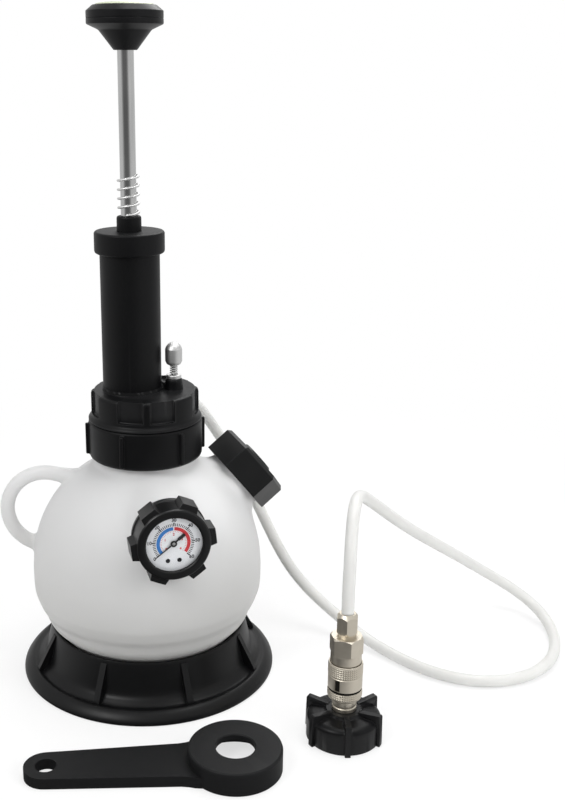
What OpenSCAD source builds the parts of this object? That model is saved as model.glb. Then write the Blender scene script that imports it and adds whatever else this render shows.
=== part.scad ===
// Pressure brake bleeder: a hand pump on a ball tank, with a gauge, a filler cap, a hose that ends in a quick
// coupler and a reservoir adapter, and the loose spanner for the caps. Millimetres, Z up, the origin on the
// floor at the middle of the base.

/* [Base] */
// Diameter of the foot
foot_d = 200; // [194:1:216]
// Thickness of each gusset round the base
gusset_t = 3.2; // [2:0.2:6]
/* [Tank] */
// Diameter of the ball
tank_d = 178; // [174:1:182]
// Wall of the tank
tank_wall = 2.5; // [2:0.1:3.5]
// Diameter of the carry handle's tube
handle_d = 11.5; // [9:0.5:14]
/* [Pump] */
// Diameter of the nut that holds the pump on the neck
nut_d = 86.2; // [84:0.2:90]
// Outer diameter of the pump cylinder
cylinder_d = 44; // [42:0.5:46]
// Length of the pump cylinder above the head
cylinder_len = 113; // [113:1:125]
// Diameter of the piston rod
rod_d = 11.6; // [10:0.2:11.8]
// Travel of the piston
stroke = 83; // [60:1:83]
// Diameter of the pump knob
knob_d = 53.5; // [48:0.5:60]
/* [Release valve] */
// Diameter of the release knob
release_d = 12.7; // [10:0.1:14]
/* [Gauge] */
// Diameter of the dial that shows inside the gauge nut
dial_d = 39.6; // [36:0.2:40.4]
/* [Filler cap] */
// Diameter of the filler cap across its corners
filler_d = 65; // [62:0.5:68]
// Height of the filler cap's wall
filler_h = 23; // [22:0.5:27]
/* [Hose] */
// Outer diameter of the hose
hose_d = 9; // [8:0.5:10]
/* [Coupler] */
// Diameter of the coupler's sleeve
sleeve_d = 24.5; // [24.2:0.1:27]
/* [Adapter] */
// Diameter inside the adapter's thread
thread_d = 44; // [40:0.5:46]
// Thickness of each wing on the adapter
wing_t = 4; // [3:0.2:6]
/* [Spanner] */
// Outer diameter of the spanner's ring
ring_d = 65.4; // [64:0.2:70]
// Thickness of the spanner's handle
spanner_t = 8; // [6:0.5:11]

/* [Hidden] */
$fn = 64;
eps = 0.01;
black = "#1d1e20";
rubber = "#2c2c2e";
steel = "#c9cbce";
nickel = "#cfc8ba";
white_plastic = "#eeeeea";

// Heights of the tank: its flat bottom stands on the base's floor, and the neck is a fixed rise above the ball
floor_top = 9;
floor_bottom = 6;
bottom_r = 38;
tank_r = tank_d / 2;
tank_z = floor_top + sqrt(tank_r * tank_r - bottom_r * bottom_r);
neck_rise = 21.5;
neck_top = tank_z + tank_r + neck_rise;
neck_r = 36.5;
neck_in = 33;
band_r = tank_r + 0.3;
// The waist under the band: how far each point lies in from the band, and up from the ball's lower curve
waist_steps = [[5.6, 3.415], [4.4, 4.815], [3.1, 14.615], [1.2, 15.815], [0, 18.215]];

// Carry handle: the middle of its bend lies in from the ball's side and above the ball's middle
handle_in = 10.5;
handle_rise = 40.5;
handle_bend_r = 30.3;
handle_tail = 24;

// Base: the lip clears the ball by a small gap
foot_r = foot_d / 2;
lip_z = 38.6;
lip_in = sqrt(tank_r * tank_r - pow(tank_z - lip_z, 2)) + 1.6;
gusset_count = 8;

// Neck nut, gasket, retainer and head, stacked on the neck
nut_r = nut_d / 2;
nut_skirt = 23.7;
nut_crown = 5.5;
nut_rib_half = 2.3;
nut_rib_out = 3.6;
nut_bottom = neck_top - nut_skirt;
nut_top = neck_top + nut_crown;
seal_top = neck_top + 2;
retainer_top = seal_top + 1.4;
lip_bottom = retainer_top + 0.1;
spigot_r = 32.6;
spigot_bottom = neck_top - 3;
head_bottom = nut_top + 0.3;
head_top = neck_top + 28;
head_r = nut_r - 2.5;
head_panel_r = head_r - 2.2;
head_panel_z = head_bottom + 5.5;

// Pump: the cylinder stands off the middle, and the knob stops just above the spring on the guide bush
pump_x = -9.3;
cylinder_r = cylinder_d / 2;
cylinder_in = cylinder_r - 3;
socket_z = head_top - 6;
cylinder_top = head_top + cylinder_len;
cap_skirt = 10;
cap_crown = 5.9;
cap_wall = 3.75;
cap_low_edge = 1.2;
cap_top_edge = 1;
cap_bottom = cylinder_top - cap_skirt;
cap_top = cylinder_top + cap_crown;
cap_r = cylinder_r + cap_wall;
rod_r = rod_d / 2;
bush_top = cap_top + 10.7;
bush_r = 9;
wire_d = 1.7;
spring_r = 7.4;
spring_h = 30.4;
spring_turns = 5;
spring_top = bush_top + spring_h;
knob_gap = 0.5;
knob_bottom = spring_top + stroke + knob_gap;
knob_body_h = 22.3;
knob_seam = knob_bottom + knob_body_h;
knob_r = knob_d / 2;
knob_neck_r = 8.6;
knob_ease = 0.4;
knob_cone_h = 13.9;
knob_cone_in = 8.6;
knob_flare_h = 3;
knob_flare_in = 7.4;
knob_rim_edge = 1;
knob_socket = 13;
knob_crown_h = 8.4;
knob_rim_h = 4;
knob_inset = 6;
stud_r = 3;
piston_bottom = head_top + 4 + stroke;
piston_top = piston_bottom + 10;
piston_r = cylinder_in - 0.6;
seal_gap = 0.08;

// Release valve on the head's right
release_x = 22;
release_r = release_d / 2;
boss_top = head_top + 8;
seat_top = head_top + 11;
release_spring_h = 7.8;
release_wire = 0.9;
release_coil_r = 2.6;
release_turns = 3;
release_bottom = seat_top + release_spring_h;
release_top = release_bottom + 17.2;
stem_r = 1.5;
disc_top = head_top - 2.1;

// Hose port on the head's back, and the dip tube below it
port_azimuth = 60;
port_tilt = 30;
port_r = 41;
port_z = neck_top + 16;
port_len = 18;
port_boss_r = 7.6;
port_boss_top = 6;
fitting_top = 10;
dip_r = 4;
dip_in = 2.8;
dip_at = 28;
dip_top = neck_top + 8;

// Gauge, on an axis level with the floor: local Z runs out of the tank, with 0 at the dial
gauge_azimuth = 13.5;
gauge_drop = 32.8;
gauge_rise = tank_r - gauge_drop;
gauge_reach = 33.79;
gauge_root = 16;
gauge_bore_deep = 36;
gauge_z = tank_z + gauge_rise;
gauge_out = sqrt(tank_r * tank_r - gauge_rise * gauge_rise) + gauge_reach;
gauge_back = -17.3;
gauge_front = 4.4;
gauge_ring_r = 24.6;
gauge_lug_r = 29.2;
gauge_neck_r = 22.5;
gauge_seat = -11;
pointer_angle = 218.5;

// Filler neck and cap: local Z runs out from the ball's middle
filler_azimuth = 17.4;
filler_tilt = 38.8;
filler_bottom = tank_r + 4;
filler_top = filler_bottom + filler_h;
filler_neck_r = 24.2;
filler_root = 20;
filler_bore_deep = 30;
filler_mouth = filler_bottom + 18.5;
filler_in = filler_mouth + 1.8;
filler_turn = 12;

// Coupler and adapter, upright on the floor
coupler = [145, -109, 0];
adapter_top = 18;
hub_top = 22;
wing_top = 28;
wing_r = 28.9;
wall_r = 26.6;
wing_count = 6;
neck_z = 29;
sleeve_bottom = 29.6;
sleeve_top = 59.6;
hex_bottom = 66;
hex_top = 79;
hose_nut_bottom = 80.4;
hose_nut_top = 96.7;
sleeve_r = sleeve_d / 2;

// Spanner, flat on the floor in front
spanner = [66.5, -148, 0];
spanner_turn = 4.2;
spanner_h = 16.9;
spanner_web = 4.5;
spanner_hole_r = 13.6;
spanner_len = 129;
hang_r = 7.3;

// The hose's route: straight out of the port, down behind the tank, round on the floor and up over the coupler
port_line = rotated(port_azimuth, [cos(port_tilt), 0, -sin(port_tilt)]);
hose_start = rotated(port_azimuth, [port_r, 0, port_z]) + port_len * port_line;
hose_end = coupler + [0, 0, hose_nut_top];
straight = 9;
route = concat([hose_start, hose_start + straight * port_line, hose_start + 2 * straight * port_line], [
    [41.8, 73.6, 188.2], [53.8, 87.2, 166.8], [72.4, 86.6, 135.8], [83, 78.2, 117], [95.4, 66.6, 93.4],
    [106.6, 62, 70.4], [120.4, 53.4, 49.6], [138.2, 45, 31.6], [158, 34.2, 17.8], [176.8, 18.4, 7.4],
    [194, -1.6, 5], [211.2, -21.8, 5], [232.2, -38, 5], [257.2, -46.6, 5], [283.6, -44, 4.8], [307, -32, 5.2],
    [324.2, -12, 5.2], [334.2, 12.8, 5], [338.6, 39.8, 5], [334.2, 63.4, 9.8], [319, 80, 18.8],
    [297.2, 84.6, 31.2], [277.8, 76, 45.8], [261.2, 59.6, 61.2], [244, 45, 76], [226.6, 31.4, 90.6],
    [210.8, 16.2, 105], [197.2, -1, 119.6], [184.2, -20.2, 134.6], [165.6, -37.2, 153.8], [156.4, -59.4, 165],
    [150.8, -79.6, 163.8], [147.2, -97, 152.2], [145.6, -106.8, 134.4]],
    [hose_end + [0, 0, 2 * straight], hose_end + [0, 0, straight], hose_end]);
// A direction that the hose never runs along, which fixes how its rings are turned
hose_side = [0.6, 0.2, 0.77];
hose_sides = 10;
rings_per_span = 2;

function rotated(angle, p) = [p.x * cos(angle) - p.y * sin(angle), p.x * sin(angle) + p.y * cos(angle), p.z];
function unit(v) = v / norm(v);
// A smooth curve through four points, from the second to the third
function between(a, b, c, d, t) =
    0.5 * (2 * b + (c - a) * t + (2 * a - 5 * b + 4 * c - d) * t * t + (3 * b - a - 3 * c + d) * t * t * t);
function smooth(p, steps) = let (last = len(p) - 1) concat(
    [for (i = [0 : last - 1], s = [0 : steps - 1])
        between(i == 0 ? 2 * p[0] - p[1] : p[i - 1], p[i], p[i + 1],
            i == last - 1 ? 2 * p[last] - p[last - 1] : p[i + 2], s / steps)],
    [p[last]]);
function tangent(p, i) = unit(p[min(i + 1, len(p) - 1)] - p[max(i - 1, 0)]);
// A coil about Z: twelve points a turn, with both ends standing straight for one wire diameter
function coil(r, wire, height, turns) = let (n = turns * 12) concat(
    [[r, 0, 0]],
    [for (i = [0 : n]) [r * cos(i * 30), r * sin(i * 30), wire + (height - 2 * wire) * i / n]],
    [[r * cos(n * 30), r * sin(n * 30), height]]);
function radials(p) = [for (q = p) [q.x, q.y, 0]];
function coil_gap(p, wire) = min([for (i = [0 : len(p) - 1], j = [0 : len(p) - 1])
    if (j - i > 6) norm(p[i] - p[j]) - wire]);

// A round tube swept through points; sides gives each ring's first direction
module tube(p, sides, r, n) {
    ring = [for (i = [0 : len(p) - 1]) let (t = tangent(p, i), s = sides[i], u = unit(s - (s * t) * t))
        for (k = [0 : n - 1]) p[i] + r * (cos(k * 360 / n) * u + sin(k * 360 / n) * cross(t, u))];
    last = (len(p) - 1) * n;
    polyhedron(ring, concat(
        [[for (k = [0 : n - 1]) k]],
        [for (i = [0 : len(p) - 2], k = [0 : n - 1], half = [0, 1]) let (a = i * n + k, b = i * n + (k + 1) % n)
            half == 0 ? [a, a + n, b + n] : [a, b + n, b]],
        [[for (k = [n - 1 : -1 : 0]) last + k]]));
}

module ring(r_out, r_in, bottom, top) {
    translate([0, 0, bottom]) difference() {
        cylinder(r = r_out, h = top - bottom);
        translate([0, 0, -1]) cylinder(r = r_in, h = top - bottom + 2);
    }
}

module disc(r, bottom, top) {
    translate([0, 0, bottom]) cylinder(r = r, h = top - bottom);
}

module at_pump() { translate([pump_x, 0, 0]) children(); }
module at_release() { translate([release_x, 0, 0]) children(); }
module at_gauge() {
    translate([0, 0, gauge_z]) rotate([90, 0, gauge_azimuth]) translate([0, 0, gauge_out]) children();
}
module at_filler() {
    translate([0, 0, tank_z]) rotate([0, 90 - filler_tilt, filler_azimuth]) children();
}
module at_port() {
    rotate([0, 0, port_azimuth]) translate([port_r, 0, port_z]) rotate([0, 90 + port_tilt, 0]) children();
}

module base_ring() {
    color(black) {
        rotate_extrude() polygon([
            [foot_r - 7, 0], [foot_r, 0], [foot_r, 3], [foot_r - 1.4, 5.6], [foot_r - 4.2, 7.5],
            [foot_r - 7.5, 8.6], [foot_r - 10.5, 8.4], [foot_r - 12.5, 9.4], [foot_r - 15.5, 12],
            [foot_r - 18, 16], [lip_in + 2.6, lip_z - 2.4], [lip_in + 2, lip_z - 0.6], [lip_in + 1, lip_z],
            [lip_in, lip_z - 0.6], [lip_in, lip_z - 4], [foot_r - 22, floor_top], [bottom_r - 10, floor_top],
            [bottom_r - 10, floor_bottom], [foot_r - 12, floor_bottom], [foot_r - 9, 4.5]]);
        for (i = [0 : gusset_count - 1])
            rotate([0, 0, (i + 0.5) * 360 / gusset_count])
                translate([0, gusset_t / 2, 0])
                    rotate([90, 0, 0])
                        linear_extrude(gusset_t) polygon([
                            [foot_r - 22, floor_top - 1], [foot_r - 12, floor_top - 1],
                            [foot_r - 10, floor_top + 1], [foot_r - 13.5, 16], [lip_in + 2.4, lip_z - 2.6], [lip_in + 1.5, lip_z - 4]]);
    }
}

// Half outline of the ball from its flat bottom, up the waist and a band, to the neck, inset by the wall
module tank_outline(inset) {
    r = tank_r - inset;
    low = asin((floor_top + inset - tank_z) / r);
    step_angle = -26;
    step_z = tank_z + tank_r * sin(step_angle);
    high = acos((neck_r - 1) / r);
    polygon(concat(
        [[0, floor_top + inset]],
        [for (i = [0 : 9]) let (a = low + i * (step_angle - low) / 9) [r * cos(a), tank_z + r * sin(a)]],
        [for (s = waist_steps) [band_r - inset - s.x, step_z + s.y]],
        [[band_r - inset, tank_z]],
        [for (i = [1 : 16]) let (a = i * high / 16) [r * cos(a), tank_z + r * sin(a)]],
        [[0, tank_z + r * sin(high)]]));
}

module tank() {
    color(white_plastic) difference() {
        union() {
            rotate_extrude() tank_outline(0);
            disc(neck_r, tank_z + tank_r * 0.8, neck_top);
            at_gauge() disc(gauge_neck_r, -gauge_reach - gauge_root, gauge_seat);
            at_filler() disc(filler_neck_r, tank_r - filler_root, filler_mouth);
        }
        rotate_extrude() tank_outline(tank_wall);
        disc(neck_in, tank_z, neck_top + 1);
        at_gauge() disc(gauge_neck_r - 3.5, -gauge_reach - gauge_bore_deep, gauge_seat + 1);
        at_gauge() ring(gauge_lug_r + 2, gauge_neck_r, gauge_back - 0.8, 10);
        at_filler() disc(filler_neck_r - 3.5, tank_r - filler_bore_deep, filler_mouth + 1);
    }
}

module carry_handle() {
    centre = [-(tank_r - handle_in), 0, tank_z + handle_rise];
    upper = 78;
    lower = 265;
    color(white_plastic) difference() {
        translate(centre) rotate([90, 0, 0]) {
            rotate([0, 0, upper]) {
                rotate_extrude(angle = lower - upper) translate([handle_bend_r, 0]) circle(d = handle_d);
                translate([handle_bend_r, 0, 0]) rotate([90, 0, 0]) cylinder(d = handle_d, h = handle_tail);
            }
        }
        rotate_extrude() tank_outline(0);
    }
}

module neck_seal() { color(rubber) ring(neck_r - 0.3, spigot_r, neck_top, seal_top); }

module head_retainer() { color(black) ring(neck_r - 0.2, spigot_r, seal_top, retainer_top); }

module neck_nut() {
    rib_count = 6;
    color(black) {
        difference() {
            disc(nut_r, nut_bottom, nut_top);
            disc(neck_r + 0.3, nut_bottom - 1, lip_bottom);
            disc(spigot_r + 0.5, lip_bottom - 1, nut_top + 1);
        }
        for (i = [0 : rib_count - 1])
            rotate([0, 0, i * 360 / rib_count - 110])
                translate([nut_r - 1, 0, nut_bottom + 0.8])
                    linear_extrude(nut_top - nut_bottom - 3)
                        polygon([[0, -nut_rib_half], [nut_rib_out - 1, -nut_rib_half + 0.3],
                            [nut_rib_out - 0.2, -nut_rib_half + 1], [nut_rib_out, -0.5], [nut_rib_out, 0.5],
                            [nut_rib_out - 0.2, nut_rib_half - 1], [nut_rib_out - 1, nut_rib_half - 0.3],
                            [0, nut_rib_half]]);
    }
}

module pump_head() {
    panel_angle = 27.5;
    color(black) difference() {
        union() {
            disc(spigot_r, spigot_bottom, head_bottom + 1);
            translate([0, 0, head_bottom]) cylinder(r1 = nut_r - 0.2, r2 = head_r, h = 3);
            disc(head_r, head_bottom + 2, head_top);
            at_pump() translate([0, 0, head_top - 1])
                cylinder(r1 = cylinder_r + 3.4, r2 = cylinder_r + 1, h = 4);
            at_release() disc(6.15, head_top - 1, boss_top);
            translate([release_x - 12, -2, head_top - 1]) cube([9, 4, 7]);
            at_port() disc(port_boss_r, -16, port_boss_top);
        }
        for (i = [0 : 3], start = [8.5, 63.5])
            rotate([0, 0, i * 90 + start - 90])
                rotate_extrude(angle = panel_angle)
                    translate([head_panel_r, head_panel_z]) square([10, head_top]);
        at_pump() disc(cylinder_r, socket_z, head_top + 10);
        at_pump() disc(8.5, spigot_bottom - 1, socket_z + 1);
        at_release() disc(4, spigot_bottom - 1, boss_top - 9);
        at_release() disc(3.5, boss_top - 10, boss_top + 1);
        at_port() disc(4.5, -6, port_boss_top + 1);
        at_port() disc(dip_in, -port_r + dip_at, 1);
        rotate([0, 0, port_azimuth]) translate([dip_at, 0, 0]) {
            disc(dip_r, spigot_bottom - 1, dip_top);
            disc(dip_in, dip_top - 1, port_z + 8);
        }
    }
}

module check_seat() {
    color(steel) at_pump() difference() {
        disc(cylinder_in - 0.1, socket_z, socket_z + 3);
        disc(1.6, socket_z - 1, socket_z + 4);
        for (i = [0 : 3])
            rotate([0, 0, i * 90]) translate([4.6, 0, 0]) disc(1.1, socket_z - 1, socket_z + 4);
    }
}

module check_valve() {
    color(rubber) at_pump() {
        disc(7, socket_z - 1.6, socket_z);
        disc(1.6, socket_z - 1, socket_z + 3.5);
        disc(2.3, socket_z + 3, socket_z + 4.4);
    }
}

module pump_cylinder() { color(black) at_pump() ring(cylinder_r, cylinder_in, socket_z, cylinder_top); }

module cylinder_cap() {
    color(black) at_pump() difference() {
        union() {
            translate([0, 0, cap_bottom])
                cylinder(r1 = cap_r - cap_low_edge, r2 = cap_r, h = cap_low_edge);
            disc(cap_r, cap_bottom + cap_low_edge, cap_top - cap_top_edge);
            translate([0, 0, cap_top - cap_top_edge])
                cylinder(r1 = cap_r, r2 = cap_r - cap_top_edge, h = cap_top_edge);
        }
        disc(cylinder_r, cap_bottom - 1, cylinder_top);
        disc(bush_r - 1.5, cylinder_top - 1, cap_top + 1);
    }
}

module guide_bush() {
    color(black) at_pump() difference() {
        union() {
            disc(bush_r - 1.5, cylinder_top, cap_top + 1);
            disc(bush_r, cap_top, bush_top - 1.2);
            translate([0, 0, bush_top - 1.2]) cylinder(r1 = bush_r, r2 = bush_r - 0.8, h = 1.2);
        }
        disc(rod_r + 0.06, cylinder_top - 1, bush_top + 1);
    }
}

module rod_spring() {
    points = coil(spring_r, wire_d, spring_h, spring_turns);
    echo(rod_spring_gap = coil_gap(points, wire_d));
    color(steel) at_pump() translate([0, 0, bush_top]) tube(points, radials(points), wire_d / 2, 6);
}

module piston_rod() {
    color(steel) at_pump() {
        disc(rod_r, piston_top, knob_bottom + knob_socket);
        disc(stud_r, piston_bottom - 4, piston_top + 1);
    }
}

module piston() {
    color(white_plastic) at_pump() difference() {
        disc(piston_r, piston_bottom, piston_top);
        disc(stud_r, piston_bottom - 1, piston_top + 1);
        ring(piston_r + 1, piston_r - 3, piston_bottom + 3, piston_bottom + 7);
    }
}

module piston_seal() {
    color(rubber) at_pump() ring(cylinder_in - seal_gap, piston_r - 3, piston_bottom + 3, piston_bottom + 7);
}

module piston_nut() {
    color(steel) at_pump() difference() {
        translate([0, 0, piston_bottom - 4]) cylinder(r = 5.8, h = 4, $fn = 6);
        disc(stud_r, piston_bottom - 5, piston_bottom + 1);
    }
}

module knob_body() {
    flare_bottom = knob_bottom + knob_cone_h + 0.9;
    color(black) at_pump() difference() {
        rotate_extrude() polygon([
            [0, knob_bottom], [knob_neck_r - knob_ease, knob_bottom], [knob_neck_r, knob_bottom + knob_ease],
            [knob_r - knob_cone_in, knob_bottom + knob_cone_h], [knob_r - knob_flare_in, flare_bottom],
            [knob_r - knob_rim_edge, flare_bottom + knob_flare_h],
            [knob_r, flare_bottom + knob_flare_h + knob_rim_edge],
            [knob_r, knob_seam - 0.5], [knob_r - 0.5, knob_seam], [0, knob_seam]]);
        disc(rod_r, knob_bottom - 1, knob_bottom + knob_socket);
        disc(knob_r - knob_inset, knob_seam - knob_rim_h, knob_seam + 1);
    }
}

module knob_cap() {
    crown_top = knob_seam + knob_crown_h;
    color(black) at_pump() difference() {
        rotate_extrude() polygon([
            [0, knob_seam - knob_rim_h], [knob_r - knob_inset, knob_seam - knob_rim_h],
            [knob_r - knob_inset, knob_seam], [knob_r - 0.5, knob_seam],
            [knob_r, knob_seam + 0.5], [knob_r, knob_seam + knob_rim_h], [knob_r - 1.2, crown_top - 2.8],
            [knob_r - 3.2, crown_top - 1], [knob_r - 5.5, crown_top], [0, crown_top]]);
        disc(knob_r - knob_inset - 0.5, crown_top - 1, crown_top + 4);
    }
}

module knob_inlay() {
    inlay_r = knob_r - knob_inset - 0.5;
    flat_r = 10;
    bottom = knob_seam + knob_crown_h - 1;
    top = bottom + 1.2;
    color("#c9cf9a") at_pump() rotate_extrude() polygon([
        [0, bottom], [inlay_r, bottom], [inlay_r, top - 0.3], [inlay_r - 0.5, top],
        [flat_r, top + 0.4], [0, top + 0.6]]);
}

module release_seat() {
    color(steel) at_release() difference() {
        union() {
            disc(3.5, boss_top - 9, boss_top + 1);
            disc(5.65, boss_top, seat_top);
        }
        disc(stem_r + 0.3, boss_top - 10, seat_top + 1);
    }
}

module release_spring() {
    points = coil(release_coil_r, release_wire, release_spring_h, release_turns);
    echo(release_spring_gap = coil_gap(points, release_wire));
    color(steel) at_release() translate([0, 0, seat_top])
        tube(points, radials(points), release_wire / 2, 6);
}

module release_stem() {
    color(steel) at_release() {
        disc(stem_r, disc_top - 2, release_bottom + 9);
        disc(3.2, disc_top - 2, disc_top);
    }
}

module release_knob() {
    color(steel) at_release() difference() {
        rotate_extrude() polygon([
            [0, release_bottom], [release_r - 1, release_bottom], [release_r, release_bottom + 1],
            [release_r, release_top - 4], [release_r - 0.6, release_top - 2.4],
            [release_r - 2.2, release_top - 0.9], [release_r - 4.4, release_top - 0.2], [0, release_top]]);
        disc(stem_r, release_bottom - 1, release_bottom + 9);
    }
}

module hose_fitting() {
    color(steel) at_port() difference() {
        union() {
            disc(4.5, -6, port_boss_top + 1);
            translate([0, 0, port_boss_top]) cylinder(r = 7.4, h = fitting_top - port_boss_top, $fn = 6);
        }
        disc(dip_in, -7, fitting_top + 1);
    }
}

module hose_nut() {
    color(black) at_port() difference() {
        union() {
            disc(8, fitting_top, port_len - 1.5);
            translate([0, 0, port_len - 1.5]) cylinder(r1 = 8, r2 = 6.6, h = 1.5);
        }
        disc(dip_in, fitting_top - 1, port_len + 1);
    }
}

module dip_tube() {
    color(white_plastic) rotate([0, 0, port_azimuth]) translate([dip_at, 0, 0])
        ring(dip_r, dip_in, floor_top + tank_wall + 4, dip_top);
}

module gauge_gasket() {
    color(rubber) at_gauge() ring(gauge_neck_r - 1, gauge_neck_r - 6, gauge_seat, gauge_seat + 1.5);
}

module gauge_case() {
    color(black) at_gauge() difference() {
        union() {
            disc(gauge_neck_r, gauge_seat + 1.5, 1.8);
            disc(5, gauge_seat - 16, gauge_seat + 2);
        }
        disc(gauge_neck_r - 1.7, -0.6, 3);
        disc(1.2, -4, 0);
        disc(1.5, gauge_seat - 17, gauge_seat);
    }
}

module gauge_dial() { color("white") at_gauge() ring(gauge_neck_r - 1.7, 1.2, -0.6, 0); }

module dial_screws() {
    color("#3a3a3c") at_gauge() for (side = [-1, 1]) translate([side * 4.1, -12.9, 0]) disc(0.9, 0, 0.2);
}

module gauge_arbor() { color("#c8a458") at_gauge() disc(0.8, -3.6, 1.5); }

module gauge_pointer() {
    color(black) at_gauge() rotate([0, 0, pointer_angle]) difference() {
        union() {
            translate([0, 0, 0.5]) linear_extrude(0.5)
                polygon([[16.4, 0.1], [1.5, 0.55], [-4, 0.55], [-4.5, 1.1], [-10.1, 1.1],
                    [-10.1, -1.1], [-4.5, -1.1], [-4, -0.55], [1.5, -0.55], [16.4, -0.1]]);
            disc(2, 0.4, 1.2);
        }
        disc(0.8, 0, 2);
    }
}

module gauge_lens() { color([0.85, 0.92, 0.95, 0.4]) at_gauge() disc(gauge_neck_r, 1.8, 2.8); }

module gauge_nut() {
    lug_count = 6;
    lug_w = 13;
    color(black) at_gauge() {
        difference() {
            union() {
                disc(gauge_ring_r, gauge_back, gauge_front - 1);
                translate([0, 0, gauge_front - 1]) cylinder(r1 = gauge_ring_r, r2 = gauge_ring_r - 1, h = 1);
                disc(gauge_lug_r - 2, gauge_back, gauge_back + 4);
                intersection() {
                    disc(gauge_lug_r, gauge_back, gauge_front - 1.6);
                    for (i = [0 : lug_count - 1])
                        rotate([0, 0, 4 + i * 360 / lug_count])
                            translate([gauge_ring_r - 1, -lug_w / 2, gauge_back]) cube([9, lug_w, 30]);
                }
            }
            disc(gauge_neck_r + 0.1, gauge_back - 1, 2.9);
            disc(dial_d / 2, 2, gauge_front + 1);
            translate([0, 0, gauge_front - 1]) cylinder(r1 = dial_d / 2 - eps, r2 = dial_d / 2 + 1.2, h = 1.2);
        }
    }
}

module filler_gasket() {
    color(rubber) at_filler() ring(filler_neck_r - 0.4, filler_neck_r - 5, filler_mouth, filler_in);
}

module filler_cap() {
    color(black) at_filler() difference() {
        union() {
            rotate([0, 0, filler_turn]) translate([0, 0, filler_bottom])
                cylinder(d = filler_d, h = filler_h, $fn = 6);
            disc(13.5, filler_top - 1, filler_top + 2);
        }
        disc(filler_neck_r + 0.4, filler_bottom - 1, filler_in);
    }
}

module hose() {
    points = smooth(route, rings_per_span);
    color("#f3f3ef") tube(points, [for (p = points) hose_side], hose_d / 2, hose_sides);
}

module coupler_nut() {
    color(nickel) translate(coupler) difference() {
        union() {
            disc(7.7, hose_nut_bottom, hose_nut_top - 3);
            translate([0, 0, hose_nut_top - 3]) cylinder(r1 = 7.7, r2 = 5.6, h = 3);
        }
        disc(4, hose_nut_bottom - 1, hose_nut_bottom + 6);
        disc(2.5, hose_nut_bottom, hose_nut_top + 1);
    }
}

module coupler_body() {
    color(nickel) translate(coupler) difference() {
        union() {
            disc(10.4, sleeve_bottom + 1.4, 61);
            disc(11, 60, hex_bottom + 1);
            translate([0, 0, hex_bottom]) cylinder(r = 12.1, h = hex_top - hex_bottom, $fn = 6);
            disc(6.4, hex_top - 1, hose_nut_bottom);
            disc(4, hose_nut_bottom - 1, hose_nut_bottom + 6);
        }
        disc(6.06, sleeve_bottom, 56);
        disc(2.5, 55, hose_nut_bottom + 7);
        for (i = [0 : 5])
            rotate([0, 0, i * 60]) translate([0, 0, 36]) rotate([0, 90, 0]) cylinder(r = 1.6, h = 14);
    }
}

module locking_balls() {
    color(steel) translate(coupler)
        for (i = [0 : 5]) rotate([0, 0, i * 60]) translate([8.6, 0, 36]) sphere(r = 1.5);
}

module coupler_sleeve() {
    color(nickel) translate(coupler) difference() {
        disc(sleeve_r, sleeve_bottom, sleeve_top);
        disc(11.35, sleeve_bottom - 1, sleeve_top + 1);
        ring(sleeve_r + 1, sleeve_r - 0.5, sleeve_bottom + 5.5, sleeve_bottom + 7.5);
        translate([-2.2, -sleeve_r - 1, 40]) cube([4.4, 1.5, 9]);
    }
}

module coupler_nipple() {
    color(nickel) translate(coupler) difference() {
        union() {
            disc(6, adapter_top - 4.6, 52);
            disc(8.8, hub_top, neck_z);
        }
        disc(2.5, 0, 60);
        ring(7, 5.2, 34.4, 37.6);
    }
}

module adapter_cap() {
    color(black) translate(coupler) difference() {
        union() {
            disc(wall_r, 0, adapter_top - 2);
            translate([0, 0, adapter_top - 2]) cylinder(r1 = wall_r, r2 = wall_r - 5, h = 3.4);
            disc(13, adapter_top - 2, hub_top);
            for (i = [0 : wing_count - 1])
                rotate([0, 0, i * 360 / wing_count - 90])
                    translate([0, wing_t / 2, 0]) rotate([90, 0, 0]) linear_extrude(wing_t)
                        polygon([[11, hub_top - 8], [wall_r - 2, 0], [wing_r, 0], [wing_r - 0.6, wing_top],
                            [wing_r - 3, wing_top], [12, hub_top + 0.6]]);
        }
        disc(thread_d / 2, -1, adapter_top - 4.8);
        disc(thread_d / 2 - 1.5, adapter_top - 5, adapter_top - 3);
        disc(6, 0, hub_top + 1);
        disc(11.3, hub_top, wing_top + 1);
    }
}

module adapter_gasket() {
    color(rubber) translate(coupler) ring(thread_d / 2 - 1.5, 8, adapter_top - 4.8, adapter_top - 3);
}

module cap_spanner() {
    tooth_count = 6;
    inner_r = ring_d / 2 - 3;
    end_r = 15.2;
    color(black) translate(spanner) rotate([0, 0, spanner_turn]) {
        difference() {
            union() {
                disc(ring_d / 2, 0, spanner_h);
                linear_extrude(spanner_t)
                    polygon([[0, 22], [-30, 21], [-38, 19], [-spanner_len, end_r], [-spanner_len, -end_r],
                        [-38, -19], [-30, -21], [0, -22]]);
                translate([-spanner_len, 0, 0]) cylinder(r = end_r, h = spanner_t);
            }
            disc(inner_r, -1, spanner_h - spanner_web);
            disc(spanner_hole_r, 0, spanner_h + 1);
            translate([-spanner_len, 0, 0]) disc(hang_r, -1, spanner_t + 1);
        }
        for (i = [0 : tooth_count - 1])
            rotate([0, 0, i * 360 / tooth_count])
                translate([inner_r - 3, -3, 0]) cube([4, 6, spanner_h - spanner_web + 1]);
    }
}

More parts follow.
